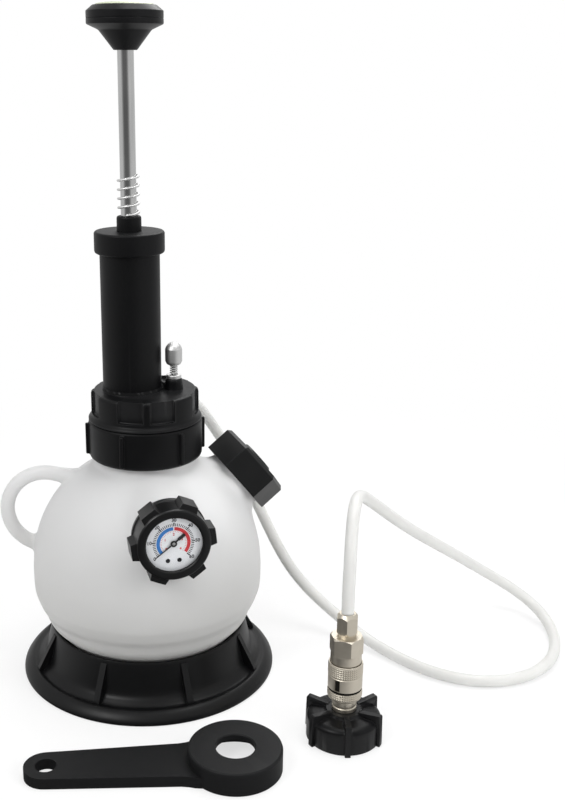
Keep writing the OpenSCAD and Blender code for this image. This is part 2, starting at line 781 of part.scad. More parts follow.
base_ring();
tank();
carry_handle();
neck_seal();
head_retainer();
neck_nut();
pump_head();
check_seat();
check_valve();
pump_cylinder();
cylinder_cap();
guide_bush();
rod_spring();
piston_rod();
piston();
piston_seal();
piston_nut();
knob_body();
knob_cap();
knob_inlay();
release_seat();
release_spring();
release_stem();
release_knob();
hose_fitting();
hose_nut();
dip_tube();
gauge_gasket();
gauge_case();
gauge_dial();
dial_screws();
gauge_arbor();
gauge_pointer();
gauge_lens();
gauge_nut();
filler_gasket();
filler_cap();
hose();
coupler_nut();
coupler_body();
locking_balls();
coupler_sleeve();
coupler_nipple();
adapter_cap();
adapter_gasket();
cap_spanner();
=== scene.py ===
import math

import bmesh
import bpy
from mathutils import Matrix, Vector


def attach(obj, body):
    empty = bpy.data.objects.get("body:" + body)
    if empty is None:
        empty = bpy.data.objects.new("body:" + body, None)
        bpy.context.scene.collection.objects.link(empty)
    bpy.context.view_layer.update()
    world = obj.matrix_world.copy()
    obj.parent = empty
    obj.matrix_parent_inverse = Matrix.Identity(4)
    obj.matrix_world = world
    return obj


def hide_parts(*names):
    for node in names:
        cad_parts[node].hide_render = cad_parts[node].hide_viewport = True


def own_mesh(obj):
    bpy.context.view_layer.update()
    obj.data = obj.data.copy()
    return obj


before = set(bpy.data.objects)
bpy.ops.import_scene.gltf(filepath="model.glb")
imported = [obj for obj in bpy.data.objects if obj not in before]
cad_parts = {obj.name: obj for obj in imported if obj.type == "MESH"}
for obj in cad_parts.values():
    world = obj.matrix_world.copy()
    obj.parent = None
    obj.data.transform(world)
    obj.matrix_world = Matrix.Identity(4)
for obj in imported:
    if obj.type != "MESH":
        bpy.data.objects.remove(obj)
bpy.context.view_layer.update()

# The stage: a white paper floor under a bright sky and four soft lamps, with the camera in front of the
# tank at the height of the raised rod. Shiny pieces see a darker strip of the room in front of them.
MM = 0.001
scene = bpy.context.scene
scene.view_settings.view_transform = "Standard"
camera = bpy.data.objects.new("camera", bpy.data.cameras.new("camera"))
camera.location = (0.04853, -0.80154, 0.46249)
camera.rotation_euler = (math.radians(73.08), 0, 0)
camera.data.lens = 49.76
camera.data.shift_x = 0.0918
scene.collection.objects.link(camera)
scene.camera = camera


class Wire:
    """A socket in a shader: arithmetic on it adds Math nodes, and node() adds any other kind of node."""

    def __init__(self, tree, socket):
        self.tree = tree
        self.socket = socket

    def node(self, kind, settings, values, output=0):
        """Adds a node: its settings are set first, then its sockets take values or wires."""
        made = self.tree.nodes.new(kind)
        for name, value in settings.items():
            setattr(made, name, value)
        for name, value in values.items():
            if isinstance(value, Wire):
                self.tree.links.new(value.socket, made.inputs[name])
            else:
                made.inputs[name].default_value = value
        return Wire(self.tree, made.outputs[output])

    def maths(self, operation, first, second):
        return self.node("ShaderNodeMath", {"operation": operation}, {0: first, 1: second})

    def __add__(self, other):
        return self.maths("ADD", self, other)

    def __radd__(self, other):
        return self.maths("ADD", other, self)

    def __sub__(self, other):
        return self.maths("SUBTRACT", self, other)

    def __rsub__(self, other):
        return self.maths("SUBTRACT", other, self)

    def __mul__(self, other):
        return self.maths("MULTIPLY", self, other)

    def __rmul__(self, other):
        return self.maths("MULTIPLY", other, self)

    def clipped(self):
        return self.node("ShaderNodeClamp", {}, {"Value": self})

    def mixed(self, low, high):
        """The colour that goes from low to high as this value goes from 0 to 1."""
        return self.node("ShaderNodeMix", {"data_type": "RGBA"}, {0: self, 6: low, 7: high}, output=2)

    def stepped(self, low, high, least=0.0, most=1.0):
        """Goes smoothly from least to most as this value goes from low to high."""
        return self.node("ShaderNodeMapRange", {"interpolation_type": "SMOOTHSTEP"}, {
            "Value": self, "From Min": low, "From Max": high, "To Min": least, "To Max": most})

    def noise(self, scale, detail, roughness=0.5):
        """A cloudy value from 0 to 1 over the places that this wire carries."""
        return self.node("ShaderNodeTexNoise", {}, {
            "Vector": self, "Scale": scale, "Detail": detail, "Roughness": roughness})

    def to(self, shader, socket):
        self.tree.links.new(self.socket, shader.inputs[socket])


DARK_SIDE = (0.19, 0.98, 0.5)
DARK = (0.16, 0.16, 0.16, 1)
PALE = (0.75, 0.75, 0.75, 1)


def room_colour(way):
    """What shiny pieces see of the room along a way: dark in a strip in front, and pale elsewhere."""
    ahead = way.node("ShaderNodeVectorMath", {"operation": "DOT_PRODUCT"}, {
        0: way, 1: DARK_SIDE}, output="Value")
    return ahead.stepped(-0.97, -0.45).mixed(DARK, PALE)


sky = bpy.data.worlds.new("studio_sky")
scene.world = sky
sky.use_nodes = True
sky_tree = sky.node_tree
sky_light = sky_tree.nodes["Background"]
sky_light.inputs["Color"].default_value = (1, 1, 1, 1)
sky_light.inputs["Strength"].default_value = 0.42
path = sky_tree.nodes.new("ShaderNodeLightPath")
camera_ray = Wire(sky_tree, path.outputs["Is Camera Ray"])
glossy_ray = Wire(sky_tree, path.outputs["Is Glossy Ray"])
clear_ray = Wire(sky_tree, path.outputs["Is Transmission Ray"])
white = camera_ray.node("ShaderNodeBackground", {}, {"Color": (1, 1, 1, 1), "Strength": 1.0})
way = Wire(sky_tree, sky_tree.nodes.new("ShaderNodeTexCoord").outputs["Generated"])
mirrored = camera_ray.node("ShaderNodeBackground", {}, {"Color": room_colour(way), "Strength": 1.0})
lit = camera_ray.node("ShaderNodeMixShader", {}, {
    0: glossy_ray, 1: Wire(sky_tree, sky_light.outputs[0]), 2: mirrored})
seen = camera_ray.node("ShaderNodeMixShader", {}, {
    0: (camera_ray + clear_ray).clipped(), 1: lit, 2: white})
seen.to(sky_tree.nodes["World Output"], "Surface")

bpy.ops.object.select_all(action="DESELECT")
bpy.ops.mesh.primitive_plane_add(size=16, location=(0, 0, -0.0003))
floor = bpy.context.object
floor.name = "floor"
paper = bpy.data.materials.new("floor_paper")
paper.use_nodes = True
paper_tree = paper.node_tree
paper_shader = paper_tree.nodes["Principled BSDF"]
paper_shader.inputs["Base Color"].default_value = (0.94, 0.94, 0.94, 1)
paper_shader.inputs["Roughness"].default_value = 0.9
paper_path = paper_tree.nodes.new("ShaderNodeLightPath")
paper_seen = Wire(paper_tree, paper_path.outputs["Is Camera Ray"])
paper_glossy = Wire(paper_tree, paper_path.outputs["Is Glossy Ray"])
paper_white = paper_seen.node("ShaderNodeEmission", {}, {"Color": (1, 1, 1, 1), "Strength": 1.0})
paper_at = Wire(paper_tree, paper_tree.nodes.new("ShaderNodeTexCoord").outputs["Object"])
paper_far = paper_at.node("ShaderNodeVectorMath", {"operation": "DISTANCE"}, {
    0: paper_at, 1: (0.1, 0, 0)}, output="Value")
paper_glow = paper_far.stepped(0.12, 0.75, 0.66, 1.0)
paper_lit = paper_seen.node("ShaderNodeMixShader", {}, {
    0: paper_seen * paper_glow, 1: Wire(paper_tree, paper_shader.outputs[0]), 2: paper_white})
paper_way = paper_at.node("ShaderNodeVectorMath", {"operation": "NORMALIZE"}, {0: paper_at})
paper_mirrored = paper_seen.node("ShaderNodeEmission", {}, {
    "Color": room_colour(paper_way), "Strength": 1.0})
paper_lit.node("ShaderNodeMixShader", {}, {0: paper_glossy, 1: paper_lit, 2: paper_mirrored}).to(
    paper_tree.nodes["Material Output"], "Surface")
floor.data.materials.append(paper)

LAMPS_AIM = Vector((0.03, 0, 0.2))
for lamp_name, lamp_at, lamp_size, watts, shines in (
        ("top_lamp", (0.3, 0.0, 1.5), 0.75, 7.2, True), ("key_lamp", (-0.9, -1.0, 1.35), 0.7, 12.4, True),
        ("fill_lamp", (1.2, -0.8, 0.8), 0.8, 10, False), ("back_lamp", (0.3, 1.0, 1.3), 0.8, 7, True)):
    lamp = bpy.data.objects.new(lamp_name, bpy.data.lights.new(lamp_name, "AREA"))
    lamp.data.energy = watts
    lamp.data.size = lamp_size
    lamp.visible_glossy = shines
    lamp.location = lamp_at
    lamp.rotation_euler = (LAMPS_AIM - Vector(lamp_at)).to_track_quat("-Z", "Y").to_euler()
    scene.collection.objects.link(lamp)


# The base: one black polypropylene moulding that the ball stands in, with a rolled rim, a stepped ledge and
# eight gussets up to the lip. Its profile is turned, and the gussets are joined on to its wall.
def drawn(name, points):
    """A line through points in millimetres, drawn by pulling one vertex along."""
    bpy.ops.object.select_all(action="DESELECT")
    bpy.ops.mesh.primitive_plane_add(size=MM)
    piece = bpy.context.object
    piece.name = name
    piece.data.name = name
    bpy.ops.object.mode_set(mode="EDIT")
    bpy.ops.mesh.select_mode(type="VERT")
    bpy.ops.mesh.select_all(action="SELECT")
    bpy.ops.mesh.merge(type="CENTER")
    at = Vector(points[0])
    bpy.ops.transform.translate(value=at * MM)
    for point in points[1:]:
        bpy.ops.mesh.extrude_region_move(TRANSFORM_OT_translate={"value": (Vector(point) - at) * MM})
        at = Vector(point)
    bpy.ops.mesh.select_all(action="SELECT")
    return piece


def turned(name, profile, sides=96, sweep=360, turn=0):
    """A solid turned about Z from a profile of radius and height in millimetres."""
    piece = drawn(name, [(r, 0, z) for r, z in profile])
    bpy.ops.mesh.spin(steps=sides, angle=math.radians(sweep), center=(0, 0, 0), axis=(0, 0, 1))
    bpy.ops.mesh.select_all(action="SELECT")
    bpy.ops.mesh.remove_doubles(threshold=0.005 * MM)
    if sweep < 360:
        bpy.ops.mesh.fill_holes(sides=0)
    bpy.ops.mesh.normals_make_consistent(inside=False)
    bpy.ops.object.mode_set(mode="OBJECT")
    return placed(piece, swing(turn))


def chosen(piece):
    """Makes a piece the one that the next operators act on."""
    bpy.ops.object.select_all(action="DESELECT")
    piece.select_set(True)
    bpy.context.view_layer.objects.active = piece


def placed(piece, matrix):
    """Puts a piece in its place, which is then held by its mesh."""
    chosen(piece)
    piece.matrix_world = matrix
    bpy.ops.object.transform_apply(location=True, rotation=True, scale=True)
    return piece


def shift(x, y, z):
    """A move in millimetres."""
    return Matrix.Translation((x * MM, y * MM, z * MM))


def swing(degrees, axis="Z"):
    """A turn about an axis."""
    return Matrix.Rotation(math.radians(degrees), 4, axis)


def pick(piece, wanted):
    """Selects, in edit mode, the faces whose middle in millimetres and normal pass a test."""
    bpy.ops.mesh.select_mode(type="FACE")
    bpy.ops.mesh.select_all(action="DESELECT")
    shape = bmesh.from_edit_mesh(piece.data)
    for face in shape.faces:
        face.select_set(wanted(face.calc_center_median() / MM, face.normal))
    bmesh.update_edit_mesh(piece.data)


def eased(piece, width, segments=3, angle=35, flat=False):
    """Breaks the sharp edges of a piece by a width in millimetres, and smooths its shading."""
    chosen(piece)
    edges = piece.modifiers.new("edges", "BEVEL")
    edges.width = width * MM
    edges.segments = segments
    edges.limit_method = "ANGLE"
    edges.angle_limit = math.radians(angle)
    bpy.ops.object.modifier_apply(modifier="edges")
    bpy.ops.object.shade_smooth_by_angle(angle=math.radians(12 if flat else 40))
    if flat:
        return piece
    weighted = piece.modifiers.new("normals", "WEIGHTED_NORMAL")
    weighted.keep_sharp = True
    bpy.ops.object.modifier_apply(modifier="normals")
    return piece


def new_finish(name, constants):
    """A material with its Principled shader, and the wire of its Object coordinates to build on."""
    material = bpy.data.materials.new(name)
    material.use_nodes = True
    tree = material.node_tree
    shader = tree.nodes["Principled BSDF"]
    for socket, value in constants.items():
        shader.inputs[socket].default_value = value
    return material, shader, Wire(tree, tree.nodes.new("ShaderNodeTexCoord").outputs["Object"])


def moulded(name, colour, gloss, grain, depth, patch=45, shine=0.16, edge_wear_and_highlight=0.8):
    """Moulded plastic: a fine sparked grain, cloudy gloss, and edges a little paler, partly rubbed wear and
    partly a painted highlight.
    """
    material, shader, place = new_finish(name, {"IOR": 1.49, "Specular IOR Level": shine})
    cloud = place.noise(patch, 4, 0.6)
    fine = place.noise(grain, 2)
    edge = Wire(place.tree, place.tree.nodes.new("ShaderNodeNewGeometry").outputs["Pointiness"])
    # Pointy edges are mixed towards the paler colour: partly rubbed wear, partly a painted highlight where
    # edges catch the light.
    rubbed_and_highlit_edges = ((edge - 0.57) * 9).clipped() * (cloud * 0.6 + 0.4)
    pale = tuple(c * 1.4 + 0.012 for c in colour) + (1,)
    wear_highlight_and_cloud = (rubbed_and_highlit_edges * edge_wear_and_highlight + cloud * 0.08).clipped()
    wear_highlight_and_cloud.mixed(colour + (1,), pale).to(shader, "Base Color")
    (gloss - 0.08 + cloud * 0.16 - rubbed_and_highlit_edges * 0.08).to(shader, "Roughness")
    bump = place.node("ShaderNodeBump", {}, {"Strength": 0.35, "Distance": depth * MM, "Height": fine})
    bump.to(shader, "Normal")
    return material


def fitted(piece, body, slot, material, *nodes):
    """Gives a piece its finish and the body it moves with, and lets it stand for CAD nodes."""
    piece.data.materials.clear()
    piece.data.materials.append(material)
    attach(piece, body)
    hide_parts(*nodes)


base_plastic = moulded("base_plastic", (0.0032, 0.0033, 0.0036), 0.38, 2600, 0.05, shine=0.22)
base = turned("base", [
    (28, 9), (28, 6), (88, 6), (91, 4.5), (93.4, 0), (99.4, 0), (100, 0.6), (100, 1.6), (99.6, 3),
    (98.6, 4.6), (97.2, 6.2), (95.4, 7.8), (93.6, 8.8), (92.2, 9.1), (90.8, 8.8), (89.4, 8.7), (88, 9.3),
    (86.6, 10.5), (85.2, 11.6), (83.6, 12.9), (82.5, 15), (81.6, 18), (80.4, 23), (79, 29), (77.4, 35.5),
    (76.8, 37.6), (76.4, 38.3), (75.8, 38.5), (74.8, 38.5), (74.4, 38), (74.4, 34.6), (78, 9), (28, 9)],
    sides=160)


def plate(name, outline, thick):
    """A flat piece with an outline in millimetres, drawn out to a thickness along a vector."""
    piece = drawn(name, outline + outline[:1])
    bpy.ops.mesh.remove_doubles(threshold=0.001 * MM)
    bpy.ops.mesh.edge_face_add()
    bpy.ops.mesh.extrude_region_move(TRANSFORM_OT_translate={"value": Vector(thick) * MM})
    bpy.ops.mesh.select_all(action="SELECT")
    bpy.ops.mesh.normals_make_consistent(inside=False)
    bpy.ops.object.mode_set(mode="OBJECT")
    return piece


def combined(piece, other, operation):
    """Joins another solid to a piece, or cuts it away, and takes the other one out of the scene."""
    chosen(piece)
    change = piece.modifiers.new("change", "BOOLEAN")
    change.operation = operation
    change.object = other
    change.solver = "EXACT"
    bpy.ops.object.modifier_apply(modifier="change")
    bpy.data.objects.remove(other)
    return piece


def copied(piece, matrix):
    """A copy of a piece with a mesh of its own, moved by a matrix."""
    copy = piece.copy()
    copy.data = piece.data.copy()
    copy.data.transform(matrix)
    scene.collection.objects.link(copy)
    return copy


def spread(piece, count, start):
    """Copies of a piece spread evenly round Z from an angle, in place of the piece itself."""
    copies = [copied(piece, swing(start + 360 / count * turn)) for turn in range(count)]
    bpy.data.objects.remove(piece)
    return copies


def joined(pieces):
    """Makes several pieces one."""
    chosen(pieces[0])
    for piece in pieces[1:]:
        piece.select_set(True)
    bpy.ops.object.join()
    return pieces[0]


gusset = plate("gusset", [
    (76.4, -2.4, 12), (76.4, -2.4, 34.5), (77.3, -2.4, 36.3), (77.9, -2.4, 36), (90.8, -2.4, 12.2),
    (91.6, -2.4, 10.2), (91.4, -2.4, 7), (79, -2.4, 7)], (0, 4.8, 0))
combined(base, joined(spread(gusset, 8, 22.5)), "UNION")
fitted(eased(base, 0.9, 4, angle=32), "bleeder", "black_plastic", base_plastic, "base_ring")


# The tank: a blow-moulded ball of translucent white polyethylene with a soft waist above its foot, necks
# for the pump, the gauge and the filler cap, and a round carry loop on its left. The forms are joined and
# softened into each other, as in a blown wall, and the inside and the bores are cut out last.
TANK_Z = 89.48
TANK_R = 89
TANK_FOOT = 9
TANK_WALL = 2.5
WAIST_FOOT = 38
WAIST = [
    (73.2, 38.6), (76, 41.6), (78.4, 44), (80, 46.6), (80.7, 49), (81.3, 51.6), (82.3, 54.2),
    (83.6, 56.6), (84.6, 57.4), (85.2, 58.8), (86.2, 61.2), (87.1, 64), (87.8, 66.6), (88.6, 67.6),
    (88.9, 69.6), (89.2, 73), (89.3, 78), (89.3, 89)]


def ball_profile(wall):
    """The ball's half outline, from its flat bottom up to the root of the neck."""
    r = TANK_R - wall
    low = math.asin((TANK_FOOT + wall - TANK_Z) / r)
    end = math.asin((WAIST_FOOT - TANK_Z) / TANK_R)
    below = [low + (end - low) * i / 12 for i in range(12)]
    above = [math.radians(1.5 + 2.5 * i) for i in range(26)]
    points = [(0, TANK_FOOT + wall), (34, TANK_FOOT + wall)]
    points += [(r * math.cos(a), TANK_Z + r * math.sin(a)) for a in below]
    points += [(radius - wall, z) for radius, z in WAIST]
    points += [(r * math.cos(a), TANK_Z + r * math.sin(a)) for a in above]
    return points


GAUGE_Z = 145.68
GAUGE_TURN = 13.5
GAUGE_REACH = 102.8
FILLER_TURN = 17.4
FILLER_TILT = 51.2
gauge_place = shift(0, 0, GAUGE_Z) @ swing(GAUGE_TURN) @ swing(90, "X") @ shift(0, 0, GAUGE_REACH)
filler_place = shift(0, 0, TANK_Z) @ swing(FILLER_TURN) @ swing(FILLER_TILT, "Y")
NECK_TOP = 199.98
ball = turned("ball", ball_profile(0) + [
    (37.4, 173), (36.5, 175), (36.5, NECK_TOP), (0, NECK_TOP)], sides=144)
gauge_neck = placed(turned("gauge_neck", [
    (0, -76), (26.4, -76), (26.2, -64), (25.6, -54), (24.8, -44), (23.8, -34), (23, -26), (22.6, -20),
    (22.5, -17), (22.5, -11), (0, -11)], sides=72), gauge_place)
filler_neck = placed(turned("filler_neck", [
    (0, 60), (36, 60), (33, 72), (30, 79), (27.2, 85), (25.4, 89), (24.5, 91.6), (24.2, 93),
    (24.2, 111.5), (0, 111.5)], sides=72), filler_place)

HANDLE_R = 5.85
HANDLE_BEND = 30.25
handle_middle = Vector((-78.5, 0, TANK_Z + 40.5))
upper = math.radians(78)
bpy.ops.object.select_all(action="DESELECT")
bpy.ops.mesh.primitive_circle_add(vertices=40, radius=HANDLE_R * MM)
handle = bpy.context.object
handle_place = Matrix.Translation(handle_middle * MM) @ Matrix.Rotation(-upper, 4, "Y")
placed(handle, handle_place @ shift(HANDLE_BEND, 0, 0))
bpy.ops.object.mode_set(mode="EDIT")
bpy.ops.mesh.select_all(action="SELECT")
bpy.ops.mesh.spin(steps=56, angle=math.radians(187), center=handle_middle * MM, axis=(0, 1, 0))


def drawn_on(piece, pulls):
    """Pulls the selected end ring on along a line, swelling it at each step, and closes it."""
    for pull, swell in pulls:
        bpy.ops.mesh.extrude_region_move(TRANSFORM_OT_translate={"value": pull * MM})
        shape = bmesh.from_edit_mesh(piece.data)
        ring = [v.co for v in shape.verts if v.select]
        middle = sum(ring, Vector()) / len(ring)
        bpy.ops.transform.resize(value=(swell, swell, swell), center_override=middle)
    bpy.ops.mesh.edge_face_add()


def pick_ring(piece, wanted):
    """Selects, in edit mode, the open edges whose middle in millimetres passes a test."""
    bpy.ops.mesh.select_mode(type="EDGE")
    bpy.ops.mesh.select_all(action="DESELECT")
    shape = bmesh.from_edit_mesh(piece.data)
    for edge in shape.edges:
        middle = (edge.verts[0].co + edge.verts[1].co) / (2 * MM)
        edge.select_set(edge.is_boundary and wanted(middle))
    bmesh.update_edit_mesh(piece.data)


inward = Vector((math.sin(upper), 0, -math.cos(upper)))
pick_ring(handle, lambda at: at.z > TANK_Z + 60)
drawn_on(handle, [(inward * pull, swell) for pull, swell in (
    (5, 1.02), (5, 1.06), (5, 1.12), (5, 1.2), (6, 1.25))])
pick_ring(handle, lambda at: at.z < TANK_Z + 20)
drawn_on(handle, [(Vector((3, 0, -0.3)), 1.08), (Vector((5, 0, -0.6)), 1.2)])
bpy.ops.mesh.select_all(action="SELECT")
bpy.ops.mesh.normals_make_consistent(inside=False)
bpy.ops.object.mode_set(mode="OBJECT")

tank = joined([ball, gauge_neck, filler_neck, handle])
tank.name = "tank_blow_moulding"
blown = tank.modifiers.new("blown", "REMESH")
blown.mode = "VOXEL"
blown.voxel_size = 1.6 * MM
blown.use_smooth_shade = True
bpy.ops.object.modifier_apply(modifier="blown")
soft = tank.modifiers.new("soft", "SMOOTH")
soft.factor = 0.5
soft.iterations = 14
bpy.ops.object.modifier_apply(modifier="soft")


def ramp(value, width):
    """Goes from 0 to 1 as a value goes from 0 to a width."""
    return min(1, max(0, value / width))


roots = tank.vertex_groups.new(name="roots")
to_gauge = gauge_place.inverted()
to_filler = filler_place.inverted()
for vertex in tank.data.vertices:
    from_gauge = to_gauge @ vertex.co / MM
    from_filler = to_filler @ vertex.co / MM
    gauge_near = ramp(50 - math.hypot(from_gauge.x, from_gauge.y), 14)
    gauge_near *= ramp(-18 - from_gauge.z, 8) * ramp(from_gauge.z + 90, 14)
    filler_near = ramp(56 - math.hypot(from_filler.x, from_filler.y), 14)
    filler_near *= ramp(93.5 - from_filler.z, 5) * ramp(from_filler.z - 45, 14)
    neck_clear = ramp(174 - vertex.co.z / MM, 6)
    roots.add([vertex.index], max(gauge_near, filler_near) * neck_clear, "REPLACE")
blend = tank.modifiers.new("blend", "SMOOTH")
blend.factor = 0.5
blend.iterations = 160
blend.vertex_group = "roots"
bpy.ops.object.modifier_apply(modifier="blend")
tank.vertex_groups.clear()
hollow = turned("hollow", ball_profile(TANK_WALL) + [
    (33, 175), (33, NECK_TOP + 1), (0, NECK_TOP + 1)], sides=96)
combined(tank, hollow, "DIFFERENCE")


def bar(name, r, low, high, sides):
    """A plain round bar, to join on to a piece or to bore it out."""
    return turned(name, [(0, low), (r, low), (r, high), (0, high)], sides=sides)


combined(tank, placed(bar("gauge_bore", 19, -70, -10, 72), gauge_place), "DIFFERENCE")
combined(tank, placed(bar("filler_bore", 20.7, 59, 112.5, 72), filler_place), "DIFFERENCE")
bpy.ops.object.shade_smooth_by_angle(angle=math.radians(50))

tank_plastic, tank_shader, tank_at = new_finish("tank_plastic", {
    "IOR": 1.5, "Specular IOR Level": 0.35, "Subsurface Weight": 0.2, "Subsurface Scale": 0.012,
    "Subsurface Radius": (1.0, 0.97, 0.92)})
tank_cloud = tank_at.noise(9, 5, 0.55)
tank_peel = tank_at.noise(420, 2)
tank_height = tank_at.node("ShaderNodeSeparateXYZ", {}, {0: tank_at}, output="Z")
# Painted shade: the base colour is darker low on the ball and paler towards its top, as the light falls
# from above.
tank_painted_shade = (tank_height + tank_cloud * 0.02).stepped(0.04, 0.175)
tank_painted_shade.mixed((0.52, 0.518, 0.505, 1), (0.68, 0.68, 0.68, 1)).to(tank_shader, "Base Color")
(0.38 + tank_cloud * 0.16).to(tank_shader, "Roughness")
tank_bump = tank_at.node("ShaderNodeBump", {}, {
    "Strength": 0.12, "Distance": 0.12 * MM, "Height": tank_peel})
tank_bump.to(tank_shader, "Normal")
fitted(tank, "bleeder", "tank_plastic", tank_plastic, "tank", "carry_handle")


# The neck: a rubber gasket and a plain plastic retaining ring under the nut, and the black nut itself, a
# deep moulded ring with six narrow grip ribs, screwed down on the tank's neck.
def dressed(material, *nodes):
    """Gives CAD nodes their finish."""
    for node in nodes:
        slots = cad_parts[node].data.materials
        slots.clear()
        slots.append(material)


def clouded(name, constants, scale, detail, low, high, gloss, drift):
    """A finish whose colour and gloss drift over the surface with one fine cloud."""
    material, shader, place = new_finish(name, constants)
    cloud = place.noise(scale, detail)
    cloud.mixed(low + (1,), high + (1,)).to(shader, "Base Color")
    (gloss + cloud * drift).to(shader, "Roughness")
    return material


rubber = clouded("rubber", {"IOR": 1.52}, 160, 4, (0.012, 0.012, 0.013), (0.03, 0.03, 0.031), 0.62, 0.2)
dressed(rubber, "neck_seal")

BLACK = (0.0032, 0.0033, 0.0037)
nut_plastic = moulded("nut_plastic", BLACK, 0.42, 3200, 0.04)
dressed(nut_plastic, "head_retainer")
NUT_R = 43.1
NUT_RIB_R = 45.7
neck_nut = turned("neck_nut_body", [
    (36.8, 176.28), (40.2, 176.28), (41.5, 176.6), (42.5, 177.4), (43, 178.6), (NUT_R, 180), (NUT_R, 203),
    (42.9, 204.2), (42.2, 205.2), (41.4, 205.48), (33.1, 205.48), (33.1, 203.48), (36.8, 203.48),
    (36.8, 176.28)], sides=180)
bpy.ops.object.mode_set(mode="EDIT")
pick(neck_nut, lambda at, normal: at.x * normal.x + at.y * normal.y > 38 and 178 < at.z < 203
     and abs((math.degrees(math.atan2(at.y, at.x)) - 10 + 30) % 60 - 30) < 1.9)
bpy.ops.mesh.extrude_region_move(TRANSFORM_OT_translate={"value": (0, 0, 0)})
bpy.ops.transform.resize(value=(NUT_RIB_R / NUT_R, NUT_RIB_R / NUT_R, 1), center_override=(0, 0, 0))
bpy.ops.object.mode_set(mode="OBJECT")
fitted(eased(neck_nut, 0.9, angle=32), "bleeder", "black_plastic", nut_plastic, "neck_nut")


# The pump head: a black moulded cap with eight sunk panels round its edge, held down by the neck nut. The
# pump cylinder stands off its middle in a thin collar, and bosses take the release valve and the hose.
PUMP_X = -9.3
RELEASE_X = 22
HEAD_TOP = 227.98
SOCKET_Z = 221.98
BOSS_TOP = 235.98
PANEL_SWEEP = 27.5
PORT_TURN = 60
PORT_DIP = 30
PORT_R = 41
PORT_Z = 215.98
CYLINDER_R = 22
at_pump = shift(PUMP_X, 0, 0)
at_release = shift(RELEASE_X, 0, 0)
head = turned("head", [
    (0, 196.98), (32.6, 196.98), (32.6, 205.78), (42.4, 205.78), (42.9, 206.1), (42.9, 206.8),
    (42.3, 207.8), (41.2, 208.6), (40.7, 209.6), (40.6, 211), (40.6, 225.4), (40.3, 226.6), (39.7, 227.4),
    (38.7, 227.85), (37.6, HEAD_TOP), (30, HEAD_TOP), (0, HEAD_TOP)], sides=144)
panel = eased(turned("panel", [(38.2, 211.3), (48, 211.3), (48, 236), (38.2, 236), (38.2, 211.3)],
                     sides=11, sweep=PANEL_SWEEP), 1.5, 4, angle=60)
panels = [copied(panel, swing(quarter * 90 + start + PANEL_SWEEP - 90))
          for quarter in range(4) for start in (8.5, 63.5)]
bpy.data.objects.remove(panel)
combined(head, joined(panels), "DIFFERENCE")
foot = turned("foot", [
    (15, 223), (22.6, 223), (22.6, 228), (22.35, 228.4), (22.3, 230.6), (15, 230.6), (15, 223)], sides=96)
combined(head, placed(foot, at_pump), "UNION")
boss = turned("boss", [
    (0, 223), (7.3, 223), (7.2, 228), (6.9, 229), (6.7, 231.6), (6.4, 235.2), (5.8, BOSS_TOP),
    (0, BOSS_TOP)], sides=48)
combined(head, placed(boss, at_release), "UNION")
web = plate("web", [
    (9, -2, 223), (20, -2, 223), (20, -2, 234.6), (16.6, -2, 234), (15, -2, 233), (13.6, -2, 233.4),
    (12, -2, 235.4), (9, -2, 236)], (0, 4, 0))
combined(head, web, "UNION")
port_place = swing(PORT_TURN) @ shift(PORT_R, 0, PORT_Z) @ swing(90 + PORT_DIP, "Y")
combined(head, placed(bar("port", 7.6, -16, 6, 48), port_place), "UNION")
combined(head, placed(bar("socket", CYLINDER_R, SOCKET_Z, 240, 96), at_pump), "DIFFERENCE")
combined(head, placed(bar("valve_bore", 3.5, 190, 240, 32), at_release), "DIFFERENCE")
combined(head, placed(bar("port_bore", 4.5, -6, 12, 32), port_place), "DIFFERENCE")
head_plastic = moulded("head_plastic", BLACK, 0.40, 3200, 0.04)
fitted(eased(head, 0.5, angle=40), "bleeder", "black_plastic", head_plastic, "pump_head")

# The check valve at the cylinder's foot: a drilled seat of bright drawn steel with a rubber flap under it,
# which lets the air down into the tank. The seat fits close inside the cylinder.
steel, steel_shader, steel_at = new_finish("steel", {"Metallic": 1.0})
steel_stretch = steel_at.node("ShaderNodeMapping", {}, {"Vector": steel_at, "Scale": (1, 1, 0.03)})
steel_streak = steel_stretch.noise(900, 3)
steel_cloud = steel_at.noise(40, 3)
(steel_streak * 0.7 + steel_cloud * 0.3).mixed((0.40, 0.405, 0.41, 1), (0.70, 0.70, 0.69, 1)).to(
    steel_shader, "Base Color")
(0.1 + steel_cloud * 0.12).to(steel_shader, "Roughness")
dressed(steel, "check_seat")
dressed(rubber, "check_valve")


# The pump cylinder, its cap and its guide bush: three black mouldings, the tube with a satin finish and the
# cap screwed over its top end, with the bush pressed into the cap.
CYLINDER_TOP = 340.98
CAP_TOP = 346.88
BUSH_TOP = 357.58
pump_plastic = moulded("pump_plastic", BLACK, 0.46, 2800, 0.05)
cylinder = turned("cylinder", [
    (19, SOCKET_Z), (CYLINDER_R, SOCKET_Z), (CYLINDER_R, CYLINDER_TOP), (19, CYLINDER_TOP),
    (19, SOCKET_Z)], sides=96)
cylinder = placed(eased(cylinder, 0.4), at_pump)
fitted(cylinder, "bleeder", "black_plastic", pump_plastic, "pump_cylinder")
cap = turned("cap", [
    (22, 330.98), (24.4, 330.98), (25.4, 331.7), (25.75, 333), (25.75, 345.2), (25.4, 346.2),
    (24.6, 346.75), (23.4, CAP_TOP), (7.5, CAP_TOP), (7.5, CYLINDER_TOP), (22, CYLINDER_TOP),
    (22, 330.98)], sides=96)
fitted(placed(eased(cap, 0.4), at_pump), "bleeder", "black_plastic", pump_plastic, "cylinder_cap")
bush = turned("bush", [
    (5.86, CYLINDER_TOP), (7.5, CYLINDER_TOP), (7.5, CAP_TOP), (9.1, CAP_TOP), (9, 350), (9, 356),
    (8.7, 357), (8, BUSH_TOP), (6.4, BUSH_TOP), (5.86, 357.1), (5.86, CYLINDER_TOP)], sides=64)
